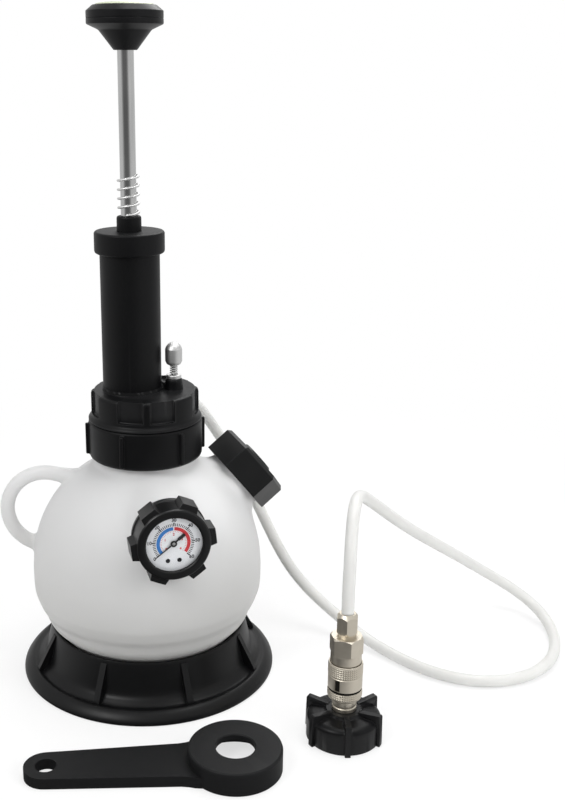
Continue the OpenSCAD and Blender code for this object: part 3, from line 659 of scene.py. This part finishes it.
fitted(placed(eased(bush, 0.25), at_pump), "bleeder", "black_plastic", pump_plastic, "guide_bush")


# The loose spring round the rod: bright steel wire in four and a half turns, standing on the bush, where it
# stops the knob at the end of the stroke.
TURN_STEPS = 40


def wound(name, coil_r, wire_r, low, high, turns):
    """A coil of round wire about Z, swept by the Screw modifier and closed at both ends."""
    bpy.ops.object.select_all(action="DESELECT")
    bpy.ops.mesh.primitive_circle_add(vertices=12, radius=wire_r * MM)
    piece = bpy.context.object
    piece.name = name
    placed(piece, shift(coil_r, 0, low + wire_r) @ swing(90, "X"))
    coil = piece.modifiers.new("coil", "SCREW")
    coil.angle = math.radians(360 * turns)
    coil.screw_offset = (high - low - 2 * wire_r) * MM
    coil.steps = round(TURN_STEPS * turns)
    coil.render_steps = round(TURN_STEPS * turns)
    coil.use_normal_calculate = True
    bpy.ops.object.modifier_apply(modifier="coil")
    bpy.ops.object.mode_set(mode="EDIT")
    bpy.ops.mesh.select_all(action="SELECT")
    bpy.ops.mesh.fill_holes(sides=0)
    bpy.ops.mesh.normals_make_consistent(inside=False)
    bpy.ops.object.mode_set(mode="OBJECT")
    bpy.ops.object.shade_smooth_by_angle(angle=math.radians(50))
    return piece


wire = clouded("spring_wire", {"Metallic": 1.0}, 220, 3,
               (0.66, 0.66, 0.66), (0.82, 0.82, 0.81), 0.42, 0.15)
rod_spring = placed(wound("rod_coil", 7.4, 0.85, BUSH_TOP, 387.98, 4.5), at_pump @ swing(-100))
fitted(rod_spring, "bleeder", "steel", wire, "rod_spring")

# The plunger: a bright steel rod with a plastic piston, its rubber seal and its nut at the foot, all inside
# the cylinder, and the knob on top: two black mouldings with a seam, and a satin disc let into the crown.
piston_plastic = moulded("piston_plastic", (0.72, 0.72, 0.70), 0.45, 1800, 0.03)
dressed(piston_plastic, "piston")
dressed(rubber, "piston_seal")
dressed(steel, "piston_rod", "piston_nut")
KNOB = 471.48
SEAM = 492.28
RIM_R = 26.75
knob_plastic = moulded("knob_plastic", (0.0050, 0.0051, 0.0056), 0.36, 3000, 0.03)
knob = turned("knob", [
    (5.8, KNOB), (8.1, KNOB), (8.6, KNOB + 0.5), (18, KNOB + 12.6), (18.6, KNOB + 13.2),
    (19.4, KNOB + 13.7), (25.8, KNOB + 16.6), (26.5, KNOB + 17), (RIM_R, KNOB + 17.6),
    (RIM_R, SEAM - 0.3), (26.5, SEAM), (20.75, SEAM), (20.75, SEAM - 2.5), (5.8, SEAM - 2.5),
    (5.8, KNOB)], sides=96)
fitted(placed(eased(knob, 0.15), at_pump), "plunger", "black_plastic", knob_plastic, "knob_body")
crown = turned("crown", [
    (0, SEAM - 2.5), (20.7, SEAM - 2.5), (20.7, SEAM), (26.5, SEAM), (RIM_R, SEAM + 0.3),
    (RIM_R, SEAM + 4.7), (26.6, SEAM + 5), (22.3, SEAM + 8.5), (21.6, SEAM + 8.7), (20.25, SEAM + 8.7),
    (20.25, SEAM + 7.9), (0, SEAM + 7.9)], sides=96)
fitted(placed(eased(crown, 0.15), at_pump), "plunger", "black_plastic", knob_plastic, "knob_cap")
disc_finish = clouded("inlay_satin", {"IOR": 1.5, "Coat Weight": 0.3}, 260, 4,
                      (0.56, 0.61, 0.43), (0.62, 0.66, 0.49), 0.3, 0.2)
inlay = turned("inlay", [
    (0, SEAM + 7.9), (20.25, SEAM + 7.9), (20.25, SEAM + 9.1), (19.6, SEAM + 9.6), (17, SEAM + 10.1),
    (13, SEAM + 10.45), (7, SEAM + 10.65), (0, SEAM + 10.7)], sides=96)
fitted(placed(eased(inlay, 0.15), at_pump), "plunger", "inlay", disc_finish, "knob_inlay")

# The release valve: a turned steel seat screwed into the head's boss, a stem through it, a fine coil that
# holds the valve shut, and a satin domed knob to press.
SEAT_TOP = 238.98
COIL_TOP = 246.78
dressed(steel, "release_stem")
satin, satin_shader, satin_at = new_finish("satin_steel", {"Metallic": 1.0})
satin_turn = satin_at.node("ShaderNodeMapping", {}, {"Vector": satin_at, "Scale": (1, 1, 30)})
satin_ring = satin_turn.noise(120, 3)
satin_ring.mixed((0.62, 0.62, 0.62, 1), (0.78, 0.78, 0.77, 1)).to(satin_shader, "Base Color")
(0.42 + satin_ring * 0.14).to(satin_shader, "Roughness")
seat = turned("valve_seat", [
    (1.8, 226.98), (3.5, 226.98), (3.5, BOSS_TOP), (5.3, BOSS_TOP), (5.65, 236.4), (5.65, 238.4),
    (5.2, SEAT_TOP), (1.8, SEAT_TOP), (1.8, 226.98)], sides=48)
fitted(placed(eased(seat, 0.2), at_release), "bleeder", "steel", satin, "release_seat")
valve_spring = placed(wound("valve_coil", 2.6, 0.45, SEAT_TOP, COIL_TOP, 4), at_release)
fitted(valve_spring, "bleeder", "steel", wire, "release_spring")
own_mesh(valve_spring)
button = turned("release_button", [
    (1.5, COIL_TOP), (4.6, COIL_TOP), (5.4, 247.4), (6.4, 249.6), (6.4, 258.6), (6.25, 259), (5.7, 260.4),
    (4.9, 261.6), (3.8, 262.7), (2.4, 263.5), (1.1, 263.9), (0, 263.98), (0, 255.8), (1.5, 255.8),
    (1.5, COIL_TOP)], sides=64)
fitted(placed(eased(button, 0.2), at_release), "release_button", "steel", satin, "release_knob")

# The hose's outlet at the back: a turned steel fitting screwed into the head's boss, the plain plastic dip
# tube that feeds it from the tank, and the black plastic nut that grips the hose.
dressed(steel, "hose_fitting")
dressed(piston_plastic, "dip_tube")
dressed(nut_plastic, "hose_nut")


# The gauge: a black case on a rubber gasket with a white enamelled dial, printed bands, ticks and numbers,
# a pointer on a brass arbor, a clear lens, and the lugged nut that holds it all on the tank's neck.
dressed(nut_plastic, "gauge_case")
dressed(rubber, "gauge_gasket")
enamel = clouded("dial_enamel", {"IOR": 1.5}, 300, 3, (0.86, 0.87, 0.89), (0.80, 0.82, 0.85), 0.3, 0.1)
dial = turned("dial_plate", [(1.2, -0.6), (20.8, -0.6), (20.8, 0), (1.2, 0), (1.2, -0.6)], sides=96)
fitted(placed(eased(dial, 0.1, 2), gauge_place), "bleeder", "dial", enamel, "gauge_dial")


def ink(name, colour):
    """Printing ink, a little uneven in its depth."""
    material, shader, place = new_finish(name, {"IOR": 1.48})
    dots = place.noise(900, 2)
    paler = tuple(0.85 * c + 0.06 for c in colour)
    (dots * 0.35).mixed(colour + (1,), paler + (1,)).to(shader, "Base Color")
    (0.35 + dots * 0.15).to(shader, "Roughness")
    return material


def arc(name, r_in, r_out, start, end, thick=0.06):
    """A printed band on the dial, from one angle to another, counted from the right."""
    return turned(name, [(r_in, 0), (r_out, 0), (r_out, thick), (r_in, thick), (r_in, 0)],
                  sides=max(1, round((start - end) / 3)), sweep=start - end, turn=start)


blue_ink = ink("blue_ink", (0.025, 0.19, 0.56))
red_ink = ink("red_ink", (0.62, 0.025, 0.035))
black_ink = ink("black_ink", (0.02, 0.02, 0.025))
ZERO = 218.5
SWEEP = 260
for band_name, start, end, band_ink in (
        ("blue_band", ZERO, 90.5, blue_ink), ("red_band", 86.5, -40, red_ink)):
    fitted(placed(arc(band_name, 9.6, 12.1, start, end), gauge_place), "bleeder", "dial", band_ink)


def ticks(name, count, r_in, r_out, width, long_every, longer):
    """A row of printed strokes round the scale, those at the numbers longer by a length."""
    strokes = []
    for step in range(count + 1):
        angle = ZERO - SWEEP * step / count
        reach = longer if step % long_every == 0 else 0
        half = math.degrees(width * (1.5 if reach else 1) / (r_in + r_out))
        strokes.append(arc(name, r_in, r_out + reach, angle + half, angle - half))
    return joined(strokes)


fitted(placed(ticks("outer_ticks", 48, 12.6, 14.7, 0.56, 8, 0.6), gauge_place), "bleeder", "dial",
       black_ink)
fitted(placed(ticks("inner_ticks", 32, 8.3, 9.2, 0.24, 8, 0.0), gauge_place), "bleeder", "dial", red_ink)


def numbers(name, values, r, size):
    """The numbers of a scale, spread from its zero to its end."""
    made = []
    for step, value in enumerate(values):
        angle = math.radians(ZERO - SWEEP * step / (len(values) - 1))
        bpy.ops.object.select_all(action="DESELECT")
        bpy.ops.object.text_add()
        figure = bpy.context.object
        figure.data.body = str(value)
        figure.data.align_x = "CENTER"
        figure.data.align_y = "CENTER"
        figure.data.size = size * MM
        figure.data.offset = 0.1 * MM
        figure.data.extrude = 0.03 * MM
        figure.data.resolution_u = 3
        bpy.ops.object.convert(target="MESH")
        made.append(placed(bpy.context.object, shift(r * math.cos(angle), r * math.sin(angle), 0.03)))
    piece = joined(made)
    piece.name = name
    return piece


fitted(placed(numbers("outer_numbers", (0, 10, 20, 30, 40, 50, 60), 17.1, 3.5), gauge_place),
       "bleeder", "dial", black_ink)
fitted(placed(numbers("inner_numbers", (0, 1, 2, 3, 4), 6.6, 2.7), gauge_place), "bleeder", "dial",
       red_ink)

screw_black = moulded("screw_black", (0.02, 0.02, 0.022), 0.35, 2000, 0.02)
screw = turned("dial_screw", [
    (0, 0), (1.6, 0), (1.55, 0.25), (1.3, 0.5), (0.8, 0.64), (0, 0.7)], sides=32)
screws = [copied(eased(screw, 0.04, 1), shift(side * 4.1, -12.9, 0)) for side in (-1, 1)]
bpy.data.objects.remove(screw)
dial_screws = joined(screws)
dial_screws.name = "dial_rivets"
fitted(placed(dial_screws, gauge_place), "bleeder", "steel", screw_black, "dial_screws")

brass = clouded("brass", {"Metallic": 1.0}, 500, 3, (0.62, 0.44, 0.17), (0.80, 0.62, 0.30), 0.25, 0.15)
dressed(brass, "gauge_arbor")
pointer_paint = ink("pointer_paint", (0.012, 0.012, 0.013))
dressed(pointer_paint, "gauge_pointer")
boss_cap = turned("pointer_boss", [
    (0.8, 1.0), (2.4, 1.0), (2.4, 1.3), (2.1, 1.5), (0.8, 1.5), (0.8, 1.0)], sides=32)
fitted(placed(eased(boss_cap, 0.06, 2), gauge_place), "pointer", "black_plastic", pointer_paint)
pin = turned("pointer_pin", [(0, 1.4), (1.1, 1.4), (1.05, 1.6), (0.8, 1.72), (0, 1.76)], sides=24)
fitted(placed(eased(pin, 0.04, 1), gauge_place), "pointer", "steel", wire)

lens, lens_shader, lens_at = new_finish("lens_clear", {
    "Base Color": (0.02, 0.02, 0.02, 1), "IOR": 1.45, "Roughness": 0.03, "Specular IOR Level": 0.4})
lens_smear = lens_at.noise(60, 3)
(0.03 + lens_smear * 0.05).to(lens_shader, "Alpha")
dressed(lens, "gauge_lens")

LUGS = 6
LUG_TURN = 7
LUG_R = 30.2
gauge_nut = turned("gauge_ring", [
    (22.6, -17.3), (26.2, -17.3), (27, -16.8), (27.2, -16), (27.2, -14.2), (27, -13.6), (26.6, -13.3),
    (26.2, -13.1), (26.2, 2.7), (26.05, 3.4), (25.5, 4), (24.7, 4.4), (21.2, 4.4), (20.5, 4.1),
    (19.9, 3.5), (19.8, 2.9), (22.6, 2.9), (22.6, -17.3)], sides=72, turn=LUG_TURN)
for lug in range(LUGS):
    placed(gauge_nut, swing(-LUG_TURN if lug == 0 else -360 / LUGS))
    bpy.ops.object.mode_set(mode="EDIT")
    pick(gauge_nut, lambda at, normal: normal.x > 0.9 and at.x > 20
         and abs(at.y) < 6.3 and -13 < at.z < 2.6)
    bpy.ops.mesh.extrude_region_move(TRANSFORM_OT_translate={"value": (4 * MM, 0, 0)})
    bpy.ops.transform.resize(value=(0.1, 0.86, 0.98), center_override=(LUG_R * MM, 0, -5.2 * MM))
    bpy.ops.object.mode_set(mode="OBJECT")
placed(gauge_nut, swing(LUG_TURN - 360 / LUGS))
gauge_plastic = moulded("gauge_plastic", (0.0030, 0.0031, 0.0034), 0.32, 3600, 0.03, shine=0.4)
fitted(placed(eased(gauge_nut, 1.0, 3, angle=32), gauge_place), "bleeder", "black_plastic", gauge_plastic,
       "gauge_nut")


# The filler cap: a black moulded hexagonal cap with a chamfered top and a raised round crown. It screws on
# the slanted neck over a rubber gasket.
def six_sided(name, corner_r, low, high, turn):
    """A plain hexagonal bar about Z between two heights, turned by an angle."""
    bpy.ops.object.select_all(action="DESELECT")
    bpy.ops.mesh.primitive_cylinder_add(
        vertices=6, radius=corner_r * MM, depth=(high - low) * MM, location=(0, 0, (low + high) / 2 * MM))
    piece = bpy.context.object
    piece.name = name
    return placed(piece, swing(turn) @ piece.matrix_world)


dressed(rubber, "filler_gasket")
filler = six_sided("filler_hexagon", 32.5, 93, 116, 12)
bpy.ops.object.mode_set(mode="EDIT")
pick(filler, lambda at, normal: normal.z > 0.9)
bpy.ops.mesh.bevel(offset=2.4 * MM, segments=1, affect="EDGES")
bpy.ops.object.mode_set(mode="OBJECT")
crown_disc = turned("filler_crown", [
    (0, 112), (14.6, 112), (14.2, 116.4), (13.5, 117.4), (12.6, 118), (0, 118)], sides=64)
combined(filler, crown_disc, "UNION")
combined(filler, bar("filler_cap_bore", 24.6, 90, 113.3, 72), "DIFFERENCE")
filler_plastic = moulded("filler_plastic", (0.0040, 0.0042, 0.0045), 0.36, 3000, 0.04, shine=0.35)
fitted(placed(eased(filler, 1.0, 3, angle=25), filler_place), "filler_lid", "black_plastic",
       filler_plastic, "filler_cap")

# The hose: nine millimetre translucent polyethylene tube, stiff enough to stand in its own bends. It leaves
# the head's port, hangs behind the tank, lies round on the floor and rises over to the coupler.
HOSE_R = 4.5
HOSE_ROUNDS = 14
HELD = 10
COUPLER_X = 145
COUPLER_Y = -109
port_turn = math.radians(PORT_TURN)
port_dip = math.radians(PORT_DIP)
port_line = Vector((math.cos(port_turn) * math.cos(port_dip), math.sin(port_turn) * math.cos(port_dip),
                    -math.sin(port_dip)))
port_mouth = Vector((PORT_R * math.cos(port_turn), PORT_R * math.sin(port_turn), PORT_Z))
hose_start = port_mouth + 18 * port_line
hose_end = Vector((COUPLER_X, COUPLER_Y, 96.7))
hose_route = [hose_start, hose_start + 9 * port_line, hose_start + 18 * port_line]
hose_route += [Vector(point) for point in (
    (41.8, 73.6, 188.2), (53.8, 87.2, 166.8), (72.4, 86.6, 135.8), (83, 78.2, 117), (95.4, 66.6, 93.4),
    (106.6, 62, 70.4), (120.4, 53.4, 49.6), (138.2, 45, 31.6), (158, 34.2, 17.8), (176.8, 18.4, 7.4),
    (194, -1.6, 5), (211.2, -21.8, 5), (232.2, -38, 5), (257.2, -46.6, 5), (283.6, -44, 4.8),
    (307, -32, 5.2), (324.2, -12, 5.2), (334.2, 12.8, 5), (338.6, 39.8, 5), (334.2, 63.4, 9.8),
    (319, 80, 18.8), (297.2, 84.6, 31.2), (277.8, 76, 45.8), (261.2, 59.6, 61.2), (244, 45, 76),
    (226.6, 31.4, 90.6), (210.8, 16.2, 105), (197.2, -1, 119.6), (184.2, -20.2, 134.6),
    (165.6, -37.2, 153.8), (156.4, -59.4, 165), (150.8, -79.6, 163.8), (147.2, -97, 152.2),
    (145.6, -106.8, 134.4))]
hose_route += [hose_end + Vector((0, 0, 18)), hose_end + Vector((0, 0, 9)), hose_end]


def eased_between(a, b, c, d, t):
    """A point on the smooth curve through four points, between the second and the third."""
    bend = (2 * a - 5 * b + 4 * c - d) * t * t
    twist = (3 * b - a - 3 * c + d) * t ** 3
    return 0.5 * (2 * b + (c - a) * t + bend + twist)


padded_route = [2 * hose_route[0] - hose_route[1]] + hose_route + [2 * hose_route[-1] - hose_route[-2]]
hose_line = [eased_between(*padded_route[i:i + 4], step / 6)
             for i in range(len(hose_route) - 1) for step in range(6)]
hose_line.append(hose_end)
for _ in range(HOSE_ROUNDS):
    softer = [(a + 2 * b + c) / 4 for a, b, c in zip(hose_line, hose_line[1:], hose_line[2:])]
    hose_line[HELD:-HELD] = softer[HELD - 1:1 - HELD]
hose_curve = bpy.data.curves.new("hose_tube", "CURVE")
hose_curve.dimensions = "3D"
hose_spline = hose_curve.splines.new("POLY")
hose_spline.points.add(len(hose_line) - 1)
for point, at in zip(hose_spline.points, hose_line):
    point.co = (*(at * MM), 1)
hose_curve.bevel_depth = HOSE_R * MM
hose_curve.bevel_resolution = 6
hose_curve.use_fill_caps = True
hose = bpy.data.objects.new("hose_tube", hose_curve)
scene.collection.objects.link(hose)
hose_plastic = clouded("hose_plastic", {
    "IOR": 1.5, "Specular IOR Level": 0.35, "Subsurface Weight": 0.6, "Subsurface Scale": 0.006,
    "Subsurface Radius": (1.0, 0.98, 0.95)}, 60, 4, (0.70, 0.70, 0.685), (0.62, 0.62, 0.605), 0.3, 0.14)
hose_length = sum((b - a).length for a, b in zip(hose_line, hose_line[1:])) * MM
fitted(hose, "bleeder", "hose", hose_plastic, "hose")


# The quick coupler: nickel-plated brass on the hose's end. It has a hose nut and a hexagon on its body,
# steel balls inside, and a sleeve with two knurled bands that slides back to let go of the nipple.
at_coupler = shift(COUPLER_X, COUPLER_Y, 0)
NICKEL_DULL = (0.60, 0.55, 0.46)
NICKEL_BRIGHT = (0.78, 0.72, 0.615)
nickel = clouded("nickel", {"Metallic": 1.0}, 130, 4, NICKEL_DULL, NICKEL_BRIGHT, 0.3, 0.2)
dressed(steel, "locking_balls")


def hexagon(name, corner_r, low, high, chamfer, turn, top_r):
    """A hexagonal nut between two heights, with its corners turned off top and bottom."""
    nut = six_sided(name, corner_r, low, high, turn)
    blank = turned("blank", [
        (0, low - 0.1), (corner_r - 1.6, low - 0.1), (corner_r + 0.3, low + chamfer),
        (corner_r + 0.3, high - chamfer), (top_r, high + 0.1), (0, high + 0.1)], sides=72)
    return combined(nut, blank, "INTERSECT")


hose_nut = hexagon("coupler_hose_nut", 8.2, 81.4, 97.2, 3.6, -8, 5.6)
combined(hose_nut, bar("coupler_hose_neck", 6.4, 80.4, 82.4, 48), "UNION")
nut_bore = turned("coupler_cone_bore", [
    (0, 79), (4, 79), (4, 86.4), (2.5, 86.4), (2.5, 98), (0, 98)], sides=32)
combined(hose_nut, nut_bore, "DIFFERENCE")
fitted(placed(eased(hose_nut, 0.25), at_coupler), "bleeder", "nickel", nickel, "coupler_nut")

body = turned("coupler_stem", [
    (0, 31), (9.9, 31), (10.4, 31.5), (10.4, 60), (10.7, 60), (11, 60.4), (11, 65.6), (10.8, 67),
    (6.4, 78), (6.4, 80.4), (4, 80.4), (4, 86.4), (0, 86.4)], sides=72)
combined(body, hexagon("coupler_hexagon", 12.1, 66.8, 80, 1.4, 9, 10.5), "UNION")
body_bore = turned("body_bore", [
    (0, 29), (6.06, 29), (6.06, 56), (2.5, 56), (2.5, 90), (0, 90)], sides=48)
combined(body, body_bore, "DIFFERENCE")
fitted(placed(eased(body, 0.25), at_coupler), "bleeder", "nickel", nickel, "coupler_body")

SLEEVE_R = 12.25
sleeve = turned("sleeve", [
    (11.35, 32.4), (11.6, 32.4), (12.1, 33), (12.1, 33.6), (12.1, 35.2), (12.1, 36.8), (12.1, 38.4),
    (12.2, 38.8), (11.6, 39), (11.6, 40.4), (SLEEVE_R, 40.6), (SLEEVE_R, 50), (12.02, 50.3),
    (12.02, 50.8), (12.02, 52.4), (12.02, 54), (12.02, 55.6), (12.02, 57.2), (12.02, 58.8), (12.1, 59.2),
    (11.9, 59.7), (11.6, 59.9), (11.35, 59.9), (11.35, 32.4)], sides=48)
bpy.ops.object.mode_set(mode="EDIT")
pick(sleeve, lambda at, normal: at.x * normal.x + at.y * normal.y > 11.5
     and (33.6 < at.z < 38.4 or 50.8 < at.z < 58.8))
bpy.ops.mesh.poke(offset=0.45 * MM)
bpy.ops.object.mode_set(mode="OBJECT")
window = plate("window", [(-2, -15, 41.2), (2, -15, 41.2), (2, -15, 49.4), (-2, -15, 49.4)], (0, 3.2, 0))
combined(sleeve, placed(window, swing(-34)), "DIFFERENCE")
bpy.ops.object.shade_smooth_by_angle(angle=math.radians(22))
sleeve_nickel, sleeve_shader, sleeve_at = new_finish("sleeve_nickel", {"Metallic": 1.0})
sleeve_cloud = sleeve_at.noise(130, 4)
# Painted reflection: the floor of the window sunk in the sleeve is painted near black and made rougher,
# standing in for the dark reflection there.
sleeve_flat = sleeve_at.node("ShaderNodeVectorMath", {"operation": "MULTIPLY"}, {
    0: sleeve_at, 1: (1, 1, 0)})
sleeve_out = sleeve_flat.node("ShaderNodeVectorMath", {"operation": "DISTANCE"}, {
    0: sleeve_flat, 1: at_coupler.translation}, output="Value")
sleeve_painted_dark = sleeve_out.node("ShaderNodeMapRange", {}, {
    "Value": sleeve_out, "From Min": 11.99 * MM, "From Max": 11.9 * MM, "To Min": 0.0, "To Max": 1.0})
sleeve_height = sleeve_at.node("ShaderNodeSeparateXYZ", {}, {0: sleeve_at}, output="Z")
sleeve_painted_dark = sleeve_painted_dark * sleeve_height.node("ShaderNodeMath", {"operation": "COMPARE"}, {
    0: sleeve_height, 1: 44 * MM, 2: 6.2 * MM})
sleeve_shine = sleeve_cloud.mixed(NICKEL_DULL + (1,), NICKEL_BRIGHT + (1,))
sleeve_painted_dark.mixed(sleeve_shine, (0.03, 0.028, 0.025, 1)).to(sleeve_shader, "Base Color")
(0.3 + sleeve_cloud * 0.2 + sleeve_painted_dark * 0.3).to(sleeve_shader, "Roughness")
fitted(placed(sleeve, at_coupler), "release_sleeve", "nickel", sleeve_nickel, "coupler_sleeve")

nipple = turned("nipple", [
    (2.5, 10), (6, 10), (6, 22), (8.4, 22), (8.8, 22.4), (8.8, 25), (8.2, 25.4), (8.2, 26.4), (9, 26.8),
    (9, 30), (8.6, 30.8), (6, 30.8), (6, 34.4), (5.2, 34.8), (5.2, 37.2), (6, 37.6), (6, 51), (5.2, 52),
    (2.5, 52), (2.5, 10)], sides=64)
fitted(placed(eased(nipple, 0.2), at_coupler), "reservoir_adapter", "nickel", nickel, "coupler_nipple")

# The reservoir adapter: a black moulded screw cap with a domed shoulder, a hub that the nipple is fixed in
# and six wings to turn it by. A rubber gasket inside it seals on the reservoir's neck.
dressed(rubber, "adapter_gasket")
adapter = turned("adapter", [
    (0, 0), (26.2, 0), (26.6, 0.5), (26.6, 15.4), (26.2, 16.8), (25.2, 18), (23.6, 18.9), (21.6, 19.4),
    (14.4, 19.9), (13.4, 20.4), (13, 21.2), (12.6, 22), (0, 22)], sides=96)
wing = plate("wing", [
    (10, -2, 12), (24, -2, 0), (28.7, -2, 0), (28.9, -2, 1), (28.5, -2, 23), (27.8, -2, 24), (26, -2, 24),
    (18, -2, 23.2), (12, -2, 22.6), (10, -2, 21.6)], (0, 4, 0))
for one in spread(wing, 6, -90):
    combined(adapter, one, "UNION")
mouth = turned("mouth", [
    (0, -1), (22, -1), (22, 13.2), (20.5, 13.2), (20.5, 15), (6, 15), (6, 22), (11.3, 22), (11.3, 30),
    (0, 30)], sides=96)
combined(adapter, mouth, "DIFFERENCE")
adapter_plastic = moulded("adapter_plastic", BLACK, 0.36, 3000, 0.04)
fitted(placed(eased(adapter, 0.7, 3, angle=32), at_coupler), "reservoir_adapter", "black_plastic",
       adapter_plastic, "adapter_cap")


# The spanner: a flat black moulding that lies loose, a ring with an eye and inner teeth for the caps, and a
# tapered handle with a hanging hole.
HANG_X = -129
HANG_END_R = 15.2
spanner = turned("spanner", [
    (13.6, 12.4), (29.7, 12.4), (29.7, 0), (32.3, 0), (32.7, 0.5), (32.7, 15), (32.3, 16.2), (31.4, 16.9),
    (14.4, 16.9), (13.6, 16.2), (13.6, 12.4)], sides=120)
arm_side = [(-24, 22), (-29, 21.2), (-33, 19.8), (-38, 18.9), (HANG_X, HANG_END_R)]
arm_outline = [(x, y, 0) for x, y in arm_side]
for angle in range(10, 180, 10):
    across = HANG_END_R * math.cos(math.radians(angle))
    arm_outline.append((HANG_X - HANG_END_R * math.sin(math.radians(angle)), across, 0))
arm_outline += [(x, -y, 0) for x, y in reversed(arm_side)]
arm = plate("arm", arm_outline, (0, 0, 8))
combined(arm, placed(bar("hang_hole", 7.3, -1, 9, 48), shift(HANG_X, 0, 0)), "DIFFERENCE")
combined(arm, bar("ring_room", 30.6, -1, 9, 120), "DIFFERENCE")
combined(spanner, arm, "UNION")
tooth = plate("tooth", [(26.7, -3, 7.2), (30.7, -3, 7.2), (30.7, 3, 7.2), (26.7, 3, 7.2)], (0, 0, 6.2))
combined(spanner, joined(spread(tooth, 6, 0)), "UNION")
spanner_plastic = moulded("spanner_plastic", (0.0082, 0.0084, 0.0089), 0.5, 1500, 0.09, edge_wear_and_highlight=0.0)
spanner_place = shift(66.5, -148, 0) @ swing(4.2)
fitted(placed(eased(spanner, 0.8, 3, angle=40, flat=True), spanner_place), "spanner", "black_plastic",
       spanner_plastic, "cap_spanner")
